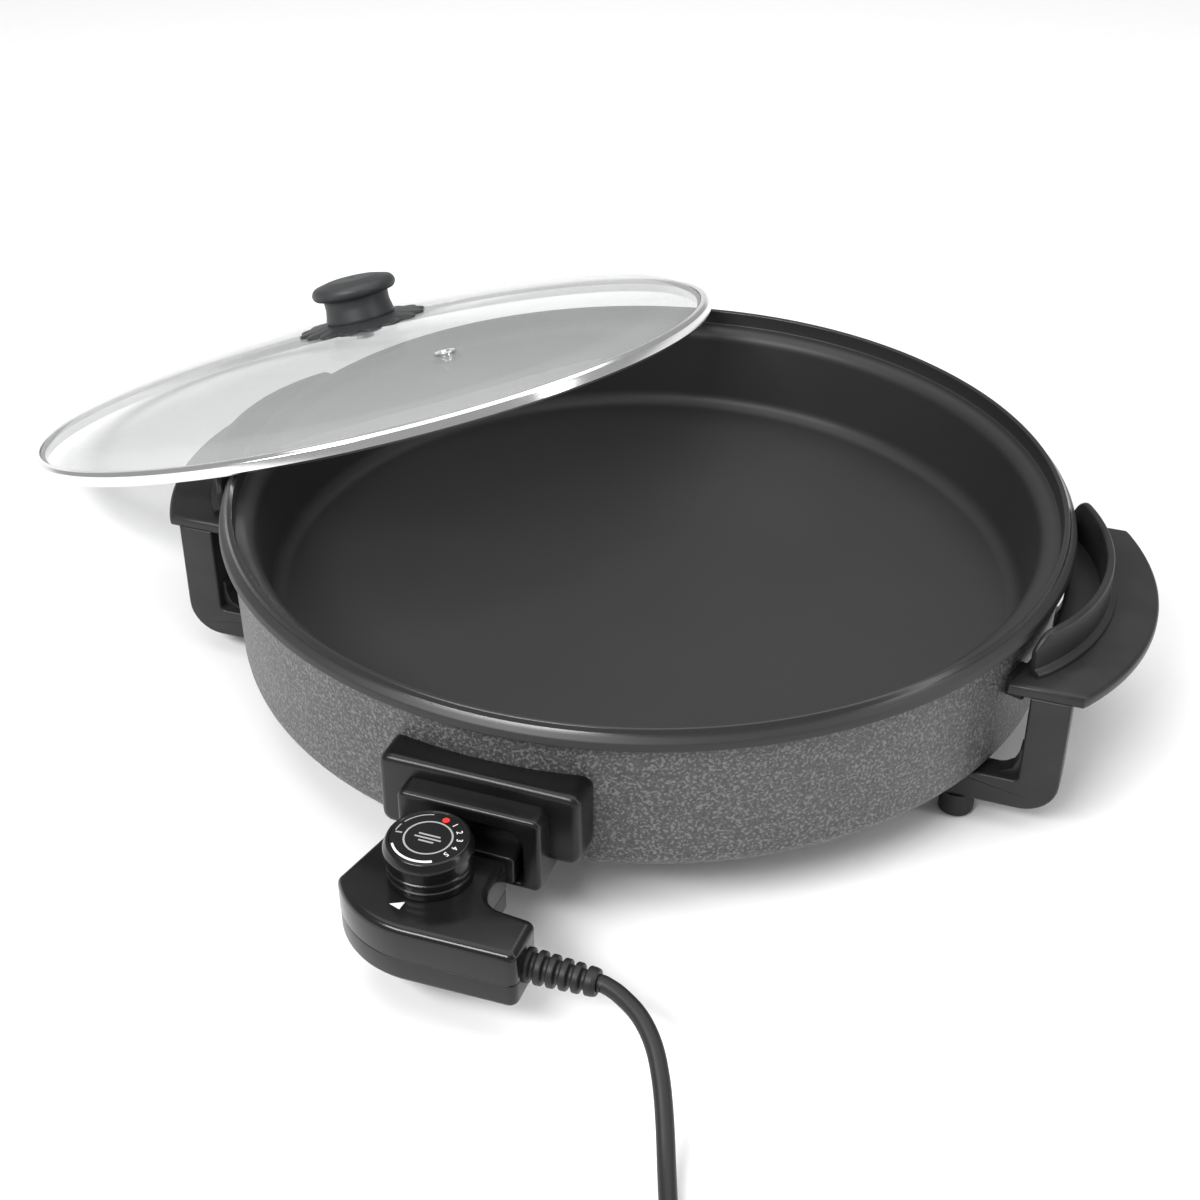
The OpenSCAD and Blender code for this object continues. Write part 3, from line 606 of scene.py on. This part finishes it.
# %% Pan
floor_z = RIM_Z - 50.4
ledge_z = RIM_Z - 5.4
R = RIM_R
pan_profile = soften([
    (0, floor_z - 3), (0, floor_z), (R - 17.2, floor_z, 8), (R - 13, ledge_z, 7),
    (R - 3.9, ledge_z, 0.7), (R - 3.3, RIM_Z + 2.1, 0.7), (R - 1.0, RIM_Z + 2.4, 1.0),
    (R + 0.1, RIM_Z + 0.3, 0.9), (R + 2.9, RIM_Z - 2.8, 2.5), (R + 3.8, RIM_Z - 6.2, 0.6),
    (R + 2.9, RIM_Z - 6.2, 0.4), (R + 1.0, RIM_Z - 3.2, 1), (R - 0.2, RIM_Z - 2.8, 0.3),
    (R - 0.2, ledge_z - 3), (R - 10, ledge_z - 3, 1), (R - 14, floor_z - 3, 11),
], 6)
pan = revolve("pan_shaped", pan_profile, nonstick.material, "griddle", 320)
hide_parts("pan")
print("pan points in profile:", len(pan_profile))

# %% [markdown]
# ## Housing
#
# The housing is a spun steel ring under the rim. It is turned too, and the faces in front of the
# socket are left out, so that the control's nose can pass through the wall.

# %% Housing
shell_lo, shell_hi = box_mm("body_shell")
mouth_lo, mouth_hi = 36.5, 62.5
low_r, top_r, shell_z = R - 2.5, R - 0.8, shell_lo[2]
shell_profile = soften([
    (low_r - 21.5, shell_z), (low_r, shell_z, 8), (low_r, 36.6), (low_r + 0.3, mouth_lo),
    (low_r + 0.8, mouth_hi), (top_r, shell_hi[2]), (top_r - 1, shell_hi[2]),
    (low_r - 0.2, mouth_hi), (low_r - 0.7, mouth_lo), (low_r - 1, shell_z + 1, 7),
    (low_r - 21.5, shell_z + 1),
], 8)


def in_window(a, b, degrees):
    """Whether a face between profile points a and b, at this bearing, faces the socket."""
    z = (a[1] + b[1]) / 2
    return mouth_lo < z < mouth_hi and min(a[0], b[0]) > low_r - 2 and abs(degrees - 270) < 6.6


housing = revolve("housing_shaped", shell_profile, paint.material, "griddle", 360, skip=in_window)
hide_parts("body_shell")
print("housing from", round(shell_z, 1), "to", round(shell_hi[2], 1))

# %% [markdown]
# ## Socket
#
# The socket is one black moulding: a frame against the housing and a deeper tunnel through it.
# Both are rounded boxes, skinned from loops along Y. The tunnel's skin turns in over its front
# edge and runs back inside, so its mouth is a real hollow for the control's nose.


# %% Socket
def rounded_box(w, low, high, r, r_low=None):
    r_low = r if r_low is None else r_low
    return soften([(0, low), (w / 2, low, r_low), (w / 2, high, r), (-w / 2, high, r),
                   (-w / 2, low, r_low)], 6)


sock_lo = box_mm("socket_shroud")[0]
to_front = Matrix(((1, 0, 0, 0), (0, 0, -1, 0), (0, 1, 0, 0), (0, 0, 0, 1)))
frame_front = R + 10.5
tunnel_front = -sock_lo[1]
frame_outline = resample(rounded_box(88, 42.1, 77.0, 5), 120)
socket_frame = slab("socket_frame", frame_outline, R - 8, frame_front, 3.2, socket_black,
                    "griddle", to_front)
outer = resample(rounded_box(62, sock_lo[2], 69.5, 3.5, 3), 160)
mouth = resample(rounded_box(47, mouth_lo, mouth_hi, 9, 1), 160)
OUT_EDGE, IN_EDGE = 2, 1.2    # the front edge's rounding outside and inside
loops = [[(p.x, p.y, R - 6) for p in outer]]
for s, c in quarter(4):
    turned_in = inset(outer, OUT_EDGE - OUT_EDGE * c)
    loops.append([(p.x, p.y, tunnel_front - OUT_EDGE + OUT_EDGE * s) for p in turned_in])
for s, c in quarter(4):
    flared = inset(mouth, -IN_EDGE + IN_EDGE * s)
    loops.append([(p.x, p.y, tunnel_front - IN_EDGE + IN_EDGE * c) for p in flared])
loops.append([(p.x, p.y, R - 6) for p in mouth])
socket_tunnel = skin("socket_tunnel", loops, socket_black, "griddle", to_front, ends=False)
for obj in (socket_frame, socket_tunnel):
    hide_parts("socket_shroud")
print("socket stands out to", round(tunnel_front, 1))

# %% [markdown]
# ## Handles
#
# Each handle is a half-moon grip plate with an upright finger guard. The plate is a slab with
# soft edges. The guard is a bent strip: its section is swept along an arc, and its height eases
# down at both ends, as a moulder would shape it to leave the tool. Two small lugs under the plate
# take the screws to the housing.

# %% Handle sizes
grip_hi = box_mm("handle_right")[1]
GRIP_TOP = RIM_Z - 22.5
GRIP_LOW = GRIP_TOP - 6
HALF = grip_hi[1]
SIDE_R = 135.5
CX = grip_hi[0] - SIDE_R
GUARD_R = 103.5
GUARD_CX = R + 21.5 - GUARD_R
GUARD_TOP = grip_hi[2]
GUARD_HALF = 65
print("grip plate", round(GRIP_LOW, 1), "to", round(GRIP_TOP, 1), "guard to", round(GUARD_TOP, 1))


def arc(cx, cy, r, a0, a1, n):
    return [Vector((cx + r * math.cos(math.radians(a0 + (a1 - a0) * i / n)),
                    cy + r * math.sin(math.radians(a0 + (a1 - a0) * i / n)))) for i in range(n + 1)]


# %% Handles
def grip_outline():
    """The half-moon from above: its long outer arc, then the arc that follows the rim."""
    out_a = math.degrees(math.asin((HALF - 2) / SIDE_R))
    in_a = math.degrees(math.asin((HALF - 2) / (R + 1)))
    side = arc(CX, 0, SIDE_R, -out_a, out_a, 60)
    inner = arc(0, 0, R + 1, in_a, -in_a, 40)
    top = [Vector((side[-1].x - 1.6, HALF)), Vector((inner[0].x + 1.6, HALF))]
    low = [Vector((inner[-1].x + 1.6, -HALF)), Vector((side[0].x - 1.6, -HALF))]
    return side + top + inner + low


def guard(name, flip):
    """The bent strip, with a low step along its foot and soft, sloping ends."""
    a_end = math.degrees(math.asin(GUARD_HALF / GUARD_R))
    loops = []
    n = 72
    for i in range(n + 1):
        s = i / n * 2 - 1    # -1 and 1 at the two ends
        a = math.radians(a_end * s)
        fall = max(0.0, abs(s) - 0.86) / 0.14
        top = GUARD_TOP - 7.5 * fall ** 2.2
        thin = 0.55 * max(0.0, abs(s) - 0.93) / 0.07
        section = soften([
            (GUARD_R - 4 + thin, GRIP_TOP - 2), (GUARD_R + 3 - thin, GRIP_TOP - 2),
            (GUARD_R + 3 - thin, GRIP_TOP + 2.2, 1.2), (GUARD_R - thin, GRIP_TOP + 3, 1.2),
            (GUARD_R - 0.3 - thin, top, 1.5), (GUARD_R - 3.9 + thin, top, 1.5),
        ], 5)
        loops.append([(GUARD_CX + p.x * math.cos(a), p.x * math.sin(a), p.y) for p in section])
    return skin(name, loops, handle_black, "griddle", flip)


LUG = [Vector(p) for p in ((R - 1.6, -7.3), (R + 7, -7.3), (R + 7, 7.3), (R - 1.6, 7.3))]
LUG_BEARINGS = (-17.5, 17.5)
for name, flip in (("right", Matrix.Identity(4)), ("left", Matrix.Rotation(math.pi, 4, "Z"))):
    plate = slab("grip_" + name, grip_outline(), GRIP_LOW, GRIP_TOP, 2.2, handle_black,
                 "griddle", flip, 1.8)
    strip = guard("guard_" + name, flip)
    lugs = []
    for i, a in enumerate(LUG_BEARINGS):
        turned = flip @ Matrix.Rotation(math.radians(a), 4, "Z")
        lugs.append(slab("lug_%s_%d" % (name, i), resample(LUG, 40), GRIP_LOW - 4.9,
                         GRIP_TOP - 1.2, 0.8, handle_black, "griddle", turned))
    for obj in [plate, strip] + lugs:
        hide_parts("handle_" + name)
print("handles made")

# %% [markdown]
# ## Legs and feet
#
# A leg is an L cut from thick plate: down from the grip plate, round a big outer corner and in
# under the housing, where the foot is. One outline serves all four, turned or mirrored into its
# corner. A gusset behind it hugs the housing's lower edge.

# %% Legs
LEG_X, LEG_W, LEG_T = R - 1, 18, 14
LEG_FACE = box_mm("leg_back_right")[1][1]    # how far from the middle a leg's flat side stands
FOOT_R, FOOT_TOP = 8, 12
leg_outline = soften([
    (R - 35, FOOT_TOP, 3), (LEG_X + LEG_W, FOOT_TOP, 16), (LEG_X + LEG_W, GRIP_LOW + 1),
    (LEG_X, GRIP_LOW + 1), (LEG_X, shell_z, 2.5), (R - 35, shell_z, 1),
], 8)
gusset_outline = soften([
    (R - 13, shell_z - 1), (LEG_X + 1, shell_z - 1), (LEG_X + 1, shell_z + 14),
    (R - 2.2, shell_z + 14),
    (R - 2.4, shell_z + 9), (R - 4.4, shell_z + 3.2), (R - 8, shell_z + 0.6),
], 4)
upright = Matrix(((1, 0, 0, 0), (0, 0, 1, 0), (0, 1, 0, 0), (0, 0, 0, 1)))
foot_profile = soften([
    (0, 0), (FOOT_R, 0, 2.2), (FOOT_R, FOOT_TOP + 0.4), (0, FOOT_TOP + 0.4)], 6)
CORNERS = (("back_right", 1, 1), ("back_left", -1, 1), ("front_right", 1, -1),
           ("front_left", -1, -1))
for name, sx, sy in CORNERS:
    for made, shape, y0, y1, edge in (
        ("leg_" + name + "_plate", leg_outline, LEG_FACE - LEG_T, LEG_FACE, 1.4),
        ("leg_" + name + "_gusset", gusset_outline, LEG_FACE - LEG_T + 0.5, LEG_FACE - 5, 0.5),
    ):
        place = Matrix.Diagonal((sx, sy, 1, 1)) @ upright
        obj = slab(made, shape, y0, y1, edge, handle_black, "griddle", place)
        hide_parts("leg_" + name)
    under_leg = Matrix.Translation((sx * (R - 27), sy * (LEG_FACE - LEG_T / 2), 0))
    foot = revolve("foot_" + name, foot_profile, foot_rubber, "griddle", 48, under_leg)
    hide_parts("rubber_feet")
print("legs and feet made")

# %% [markdown]
# ## Control
#
# The control is two shells that meet at a seam. Its outline from above is one line of arcs: a
# nose for the socket, a rounded left corner, a long front and an arm for the lead. The top shell
# has a wide rounding along its upper edge, where the light runs in one bright line.

# %% Control outline
top_hi = box_mm("control_top")[1]
bottom_lo = box_mm("control_bottom")[0]
FACE, UNDER = top_hi[2], bottom_lo[2]
SEAM = FACE - 15.5
BACK = -tunnel_front - 2.5
NOSE_END = top_hi[1]
outline = (
    [Vector((17.4, BACK))] + arc(27.5, BACK - 17, 10, 180, 270, 10)
    + arc(38, BACK - 32, 4, 90, 0, 6) + arc(38, BACK - 47, 4, 0, -90, 6)
    + arc(-5, BACK - 9, 43, 270, 214, 26) + arc(-37.33, BACK - 30.81, 4, 214, 157, 6)[1:]
    + arc(-31.5, BACK - 4, 4, 178, 90, 6)
)
outline = outline[::-1]
print("control outline points:", len(outline))

# %% Control shells
top_shell = slab("control_top_shaped", outline, SEAM + 0.25, FACE, 3.5, shell_gloss, "control",
                 None, 0.4, 6)
nose_outline = resample(rounded_box(41, 37, FACE, 2.5, 1.5), 100)
nose = slab("control_nose", nose_outline, -NOSE_END, -BACK - 0.6, 0.8, shell_satin, "control",
            to_front)
bottom_shell = slab("control_bottom_shaped", inset(outline, 0.25), UNDER, SEAM - 0.25, 0.4,
                    shell_satin, "control", None, 2.4, 6)
seam_line = slab("control_seam", inset(outline, 0.9), SEAM - 0.6, SEAM + 0.6, 0.1, shell_satin,
                 "control")
for obj in (top_shell, nose):
    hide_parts("control_top")
for obj in (bottom_shell, seam_line):
    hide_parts("control_bottom")
print("control from", round(UNDER, 1), "to", round(FACE, 1))

# %% [markdown]
# ## Strain relief, lead and plug
#
# The strain relief is a tapering rubber sleeve with ribs, so that it bends more easily towards
# its thin end. It is turned round the lead's own axis. The lead is the curve made earlier, and
# the plug is a turned body with a soft waist for the fingers.

# %% Strain relief and lead
along_x = Matrix.Translation((0, ax_y, ax_z)) @ Matrix.Rotation(math.pi / 2, 4, "Y")
x0, x1 = 42.0, relief_hi[0]
RIBS, GROOVE = 5, 1.8
profile = [(3.6, x0 - 1.5), (7.0, x0 - 1.5), (7.1, x0 + 1.2, 0.5)]
pitch = (x1 - x0 - 3.2) / RIBS
for i in range(RIBS):
    a = x0 + 1.6 + pitch * i
    r_out = 7.05 - 1.55 * (a - x0) / (x1 - x0)
    profile += [(r_out - GROOVE, a + 0.4, 0.5), (r_out - GROOVE, a + 1.9, 0.5),
                (r_out, a + 2.3, 0.7), (r_out - 0.1, a + pitch - 0.2, 0.6)]
profile += [(5.3, x1, 0.6), (3.55, x1, 0.2)]
relief = revolve("strain_relief_shaped", soften(profile, 4), rubber, "control", 64, along_x)
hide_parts("strain_relief")
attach(lead, "control")
cord_curve.materials.append(rubber)
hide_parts("cord", "cord_coil", "plug_lead")
plug_place = (Matrix.Translation((plug_hi[0], plug_y, plug_z))
              @ Matrix.Rotation(-math.pi / 2, 4, "Y"))
plug_r = (plug_hi[2] - plug_lo[2]) / 2
plug = revolve("plug_shaped", soften([
    (0, 0), (5, 0, 0.8), (6.3, 10, 2), (5.6, 12, 0.5), (6.8, 18, 2), (10, 22, 3),
    (plug_r - 1.6, 29, 4), (plug_r - 2.4, 40, 8), (plug_r, 47, 1), (plug_r, 54, 1.2), (0, 54),
], 5), shell_satin, "control", 96, plug_place)
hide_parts("plug_body")
[v * MM for v in route[0]]
print("lead", round(LEAD_L, 2), "m with its plug")

# %% [markdown]
# ## Dial
#
# The dial is turned, with two grip grooves round its side and a flat printed top. Its marks are
# thin raised ink: a ring, arcs, a dash, a dot, three plain lines and numbers. They ride on the
# dial, so they turn with it. Only the white pointer stays on the control.

# %% Dial body
dial_lo, dial_hi = box_mm("dial_knob")
DX, DY = (dial_lo[0] + dial_hi[0]) / 2, (dial_lo[1] + dial_hi[1]) / 2
DR, DZ0, DZ1 = (dial_hi[0] - dial_lo[0]) / 2, dial_lo[2], dial_hi[2]
at_dial = Matrix.Translation((DX, DY, 0))
dial = revolve("dial_shaped", soften([
    (0, DZ0), (DR - 0.9, DZ0, 0.4), (DR - 0.9, DZ0 + 3.4, 0.4), (DR - 1.7, DZ0 + 3.9, 0.3),
    (DR - 0.9, DZ0 + 4.6, 0.4), (DR - 0.8, DZ0 + 7.4, 0.4), (DR - 1.6, DZ0 + 8, 0.3),
    (DR - 0.5, DZ0 + 8.9, 0.5), (DR, DZ0 + 14.6, 3), (DR - 1.6, DZ1, 1.2),
    (DR - 2.6, DZ1, 0.3), (DR - 2.9, DZ1 - 0.5, 0.2), (0, DZ1 - 0.5),
], 5), dial_black, "dial", 128, at_dial)
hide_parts("dial_knob", "dial_face")
print("dial radius", round(DR, 1), "top", round(DZ1, 1))

# %% Printed marks
INK = DZ1 - 0.46
INK_T = 0.08


def ink(name, shape, material, body, z=INK):
    """A thin printed shape: an outline, its level top and its narrow side."""
    if (shape[1] - shape[0]).cross(shape[2] - shape[1]) < 0:
        shape = shape[::-1]
    verts = [(p.x, p.y, z) for p in shape] + [(p.x, p.y, z + INK_T) for p in shape]
    n = len(shape)
    faces = [list(range(n, 2 * n))]
    faces += [[i, (i + 1) % n, n + (i + 1) % n, n + i] for i in range(n)]
    return piece(name, verts, faces, material, body)


def on_face(*corners):
    """Points given from the dial's middle."""
    return [Vector((DX + x, DY + y)) for x, y in corners]


def ink_arc(name, r, a0, a1, w0, w1, material):
    """An arc whose width changes from w0 to w1."""
    n = 40
    verts, faces = [], []
    for i in range(n + 1):
        a, w = math.radians(a0 + (a1 - a0) * i / n), w0 + (w1 - w0) * i / n
        for rr in (r - w / 2, r + w / 2):
            verts.append((DX + rr * math.cos(a), DY + rr * math.sin(a), INK + INK_T))
    for i in range(n):
        faces.append([2 * i, 2 * i + 1, 2 * i + 3, 2 * i + 2])
    return piece(name, verts, faces, material, "dial")


marks = [
    ink_arc("mark_ring", 9.6, 0, 360, 0.75, 0.75, grey_ink),
    ink_arc("mark_warm_arc", 14.2, 213, 300, 0.9, 1.3, white_ink),
    ink_arc("mark_top_arc", 13.9, 104, 156, 0.5, 0.5, grey_ink),
    ink_arc("mark_left_arc", 13.9, 163, 180, 0.5, 0.5, grey_ink),
]
marks.append(ink("mark_dash", on_face((-13.6, -1.2), (-10.9, -0.9), (-10.9, -0.2), (-13.6, -0.5)),
                 grey_ink, "dial"))
off = math.radians(79)
dot = [Vector((DX + 12.2 * math.cos(off) + 1.5 * math.cos(math.radians(15 * i)),
               DY + 12.2 * math.sin(off) + 1.5 * math.sin(math.radians(15 * i))))
       for i in range(24)]
marks.append(ink("mark_off", dot, red_ink, "dial"))
for i, w in enumerate((4.6, 5.6, 3.2)):
    high, low = 1.9 - 1.9 * i, 1.1 - 1.9 * i
    bar = on_face((-w, high), (w, high), (w, low), (-w, low))
    marks.append(ink("mark_centre_%d" % i, bar, grey_ink, "dial"))
print("dial marks:", len(marks))

# %% [markdown]
# ## Numbers
#
# Blender's own font draws plain numbers. Each one is turned to stand on the scale's circle, then
# made into a mesh, so that it exports and turns like any other piece.


# %% Numbers on the scale
def number(text, r, degrees, size):
    curve = bpy.data.curves.new("number_" + text, "FONT")
    curve.body = text
    curve.size = size * MM
    curve.align_x = "CENTER"
    curve.align_y = "CENTER"
    curve.extrude = INK_T / 2 * MM
    made = link(bpy.data.objects.new("number_" + text, curve))
    bpy.context.view_layer.update()
    settled = made.evaluated_get(bpy.context.evaluated_depsgraph_get())
    mesh = bpy.data.meshes.new_from_object(settled)
    bpy.data.objects.remove(made)
    a = math.radians(degrees)
    spot = Vector((DX + r * math.cos(a), DY + r * math.sin(a), INK + 0.06)) * MM
    mesh.transform(Matrix.Translation(spot) @ Matrix.Rotation(a - math.pi / 2, 4, "Z"))
    mesh.materials.clear()
    mesh.materials.append(white_ink)
    obj = link(bpy.data.objects.new("number_" + text, mesh))
    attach(obj, "dial")
    return obj


for i, degrees in enumerate((56, 34, 12, -10, -32)):
    marks.append(number(str(i + 1), 12.4, degrees, 3.6))
pointer = ink("pointer", on_face((-7.6, -21.8), (-2.2, -18.9), (-2.6, -23.4)), white_ink,
              "control", FACE - 0.03)
print("numbers and pointer made")

# %% [markdown]
# ## Lid
#
# The lid leans on the rim, so all of its pieces are made upright on the origin and put in place
# by one matrix. The lean follows from how high the lid's middle stands over its low edge. The
# washer under the glass sits on the lid's axis, so its box in the CAD gives the place.

# %% Lid place
BAND_R = R - 4.5
DOME, GLASS_T = 32, 3.5
LID_RISE, LID_SIDE = 64.6, 149.5    # the middle's rise, and the bearing of the lean in degrees
WASHER_DROP = 1.04    # from the glass down to the washer's middle
lean = math.asin(LID_RISE / BAND_R)
tilt = Matrix.Rotation(math.radians(LID_SIDE), 4, "Z") @ Matrix.Rotation(lean, 4, "Y")
washer_lo, washer_hi = box_mm("lid_washer")
normal = tilt.to_3x3() @ Vector((0, 0, 1))
washer = Vector([(a + b) / 2 for a, b in zip(washer_lo, washer_hi)])
foot_of_lid = washer - normal * (DOME - GLASS_T - WASHER_DROP)
on_lid = Matrix.Translation(foot_of_lid) @ tilt
print("lid stands at", [round(v, 1) for v in foot_of_lid])

# %% [markdown]
# ## Glass and band
#
# The glass is a shallow dome with a steeper edge. One formula gives its height at any distance
# from the middle, so whatever sits on the glass can ask for it. The steel band is folded over the
# edge, and both are turned from a profile.

# %% Glass and band
GLASS_R = BAND_R - 3
SHOULDER, EDGE_Z = 14.5, 5    # width and height of the steep edge, and the height of its rim
SHOULDER_R = GLASS_R - SHOULDER


def glass_top(x):
    """Height of the glass's upper face at a distance x from the lid's axis."""
    if x <= SHOULDER_R:
        return SHOULDER + (DOME - SHOULDER) * (1 - (x / SHOULDER_R) ** 2)
    return SHOULDER - (SHOULDER - EDGE_Z) * ((x - SHOULDER_R) / SHOULDER) ** 1.4


stops = [SHOULDER_R * i / 40 for i in range(41)]
stops += [SHOULDER_R + SHOULDER * i / 14 for i in range(1, 15)]
HOLE = 3.0    # for the screw that holds the knob
stops = [max(s, HOLE) for s in stops if s > HOLE or s == 0]
glass_profile = [Vector((s, glass_top(s))) for s in stops]
glass_profile += [Vector((s, glass_top(s) - GLASS_T)) for s in stops[::-1]]
lid_glass = revolve("lid_glass_shaped", glass_profile[::-1], glass.material, "lid", 256, on_lid,
                    angle=50)
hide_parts("lid_glass")
lip, fold = GLASS_R - 4, GLASS_R - 1.5
band = revolve("lid_band_shaped", soften([
    (lip, 0.1, 0.3), (BAND_R - 0.5, 0, 0.8), (BAND_R, 1.2, 0.6), (BAND_R, 5.6, 1.2),
    (BAND_R - 1.6, 7.1, 1.0), (fold, glass_top(fold) + 0.9, 0.3), (fold, glass_top(fold) + 0.12),
    (GLASS_R + 0.05, 5.05), (GLASS_R + 0.05, 1.4), (lip, glass_top(lip) - GLASS_T - 0.05),
], 5), band_steel, "lid", 320, on_lid)
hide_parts("lid_band")
print("glass points:", len(glass_profile))

# %% [markdown]
# ## Knob
#
# The knob is a mushroom: a slightly waisted neck and a wide soft cap with a small screw dimple.
# Under it a thin scalloped plate spreads the load on the glass. The plate's edge is a circle
# whose radius rises and falls sixteen times, skinned loop by loop from the glass upwards.

# %% Knob and plate
PLATE_TOP = DOME + 3
KNOB_TOP = DOME + 26
knob = revolve("lid_knob_shaped", soften([
    (0, PLATE_TOP), (19.4, PLATE_TOP, 0.4), (19.5, PLATE_TOP + 1.4, 1),
    (18.3, KNOB_TOP - 15, 10), (18.5, KNOB_TOP - 9.4, 1.2), (22.4, KNOB_TOP - 9.2, 1.8),
    (24.5, KNOB_TOP - 6.2, 3.2), (22.5, KNOB_TOP - 2.4, 4), (14, KNOB_TOP - 0.3, 14),
    (1.9, KNOB_TOP - 0.02, 0.3), (1.3, KNOB_TOP - 1.1, 0.3), (0, KNOB_TOP - 1.2),
], 7), knob_black, "lid", 128, on_lid)
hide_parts("lid_knob")


def plate_loop(r, wave, over_glass, n=320):
    """A loop of the scalloped plate, over the glass or, with None, level with its top."""
    out = []
    for k in range(n):
        a = 2 * math.pi * k / n
        rr = r + wave * (abs(math.cos(8 * a)) - 0.5) * 2
        height = PLATE_TOP if over_glass is None else glass_top(rr) + over_glass
        out.append((rr * math.cos(a), rr * math.sin(a), height))
    return out


plate_loops = [plate_loop(*row) for row in (
    (5, 0, 0.05), (20, 0, 0.05), (34.1, 2.0, 0.05), (34.5, 2.0, 0.35), (34.3, 2.0, 1.3),
    (33.4, 2.0, 1.7), (28, 1.0, 2.2), (21, 0, None), (5, 0, None),
)]
knob_plate = skin("knob_plate_shaped", plate_loops, knob_black, "lid", on_lid)
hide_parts("knob_plate")
print("knob and plate made")

# %% [markdown]
# ## Vent
#
# A small steel eyelet lines the steam hole in the glass. It is turned like the rest, on its own
# axis, and the glass's formula gives the height that its flange rests on.

# %% Vent
VENT_X, VENT_Y = -122, 25
vent_at = on_lid @ Matrix.Translation((VENT_X, VENT_Y, 0))
seat = glass_top(math.hypot(VENT_X, VENT_Y))
vent = revolve("vent_eyelet", soften([
    (2.2, seat - 4.0), (4.0, seat - 4.0, 0.4), (4.0, seat + 0.5), (6.0, seat + 0.55, 0.4),
    (5.4, seat + 1.35, 0.5), (2.9, seat + 1.4, 0.5), (2.2, seat + 0.7, 0.4),
], 4), band_steel, "lid", 48, vent_at)
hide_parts("vent_grommet")
print("vent on the glass at height", round(seat, 1))

# %% [markdown]
# ## Floor and light
#
# The set is a plain pale floor in a bright studio. A long key light stands high in front, so
# that rolled edges catch one bright line. A large panel overhead and the white room fill the
# shadows, and a low strip on the right draws the edge of the handle. The floor is rough, which
# keeps reflections off it and lets the shadows show.

# %% Floor
floor_paper = Finish("floor_paper", roughness=0.9, specular_ior_level=0.1)
fibres = floor_paper.noise(55, 3)
floor_paper.set("Base Color", floor_paper.mix(fibres, grey(0.86), grey(0.88)))
ground = bpy.data.meshes.new("floor")
ground.from_pydata([(-9, -9, 0), (9, -9, 0), (9, 9, 0), (-9, 9, 0)], [], [(0, 1, 2, 3)])
ground.materials.append(floor_paper.material)
floor = link(bpy.data.objects.new("floor", ground))
floor.location.z = -0.5 * MM    # just under the feet, so the two faces never fight
floor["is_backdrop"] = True


# %% Lights
def soft_light(name, place, aim, size, power):
    data = bpy.data.lights.new(name, "AREA")
    data.shape = "RECTANGLE"
    data.size, data.size_y = size
    data.energy = power
    obj = link(bpy.data.objects.new(name, data))
    obj.location = place
    obj.rotation_mode = "QUATERNION"
    obj.rotation_quaternion = (Vector(aim) - Vector(place)).to_track_quat("-Z", "Y")


soft_light("key", (-0.45, -1.35, 1.35), (0, -0.2, 0.05), (1.2, 0.4), 34)
soft_light("overhead", (0.2, 0.2, 2.4), (0.05, 0.05, 0), (3.0, 3.0), 52)
soft_light("right_strip", (1.5, -0.1, 0.75), (0.15, -0.1, 0.08), (0.3, 1.4), 6)
world = bpy.data.worlds.new("studio")
world.use_nodes = True
room = world.node_tree.nodes["Background"]
room.inputs["Color"].default_value = (1, 1, 1, 1)
room.inputs["Strength"].default_value = 0.42
bpy.context.scene.world = world
bpy.context.scene.view_settings.view_transform = "Standard"
print("studio ready")

# %% [markdown]
# ## Check the size
#
# The two boxes are written side by side, so a piece that stands proud of the CAD shows up as a
# number, not as a guess.

# %% Sizes
lo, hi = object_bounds()
below = [round((a - b) * 1000, 2) for a, b in zip(cad_lo, lo)]
above = [round((b - a) * 1000, 2) for a, b in zip(cad_hi, hi)]
print("proud of CAD, mm:", below, above)
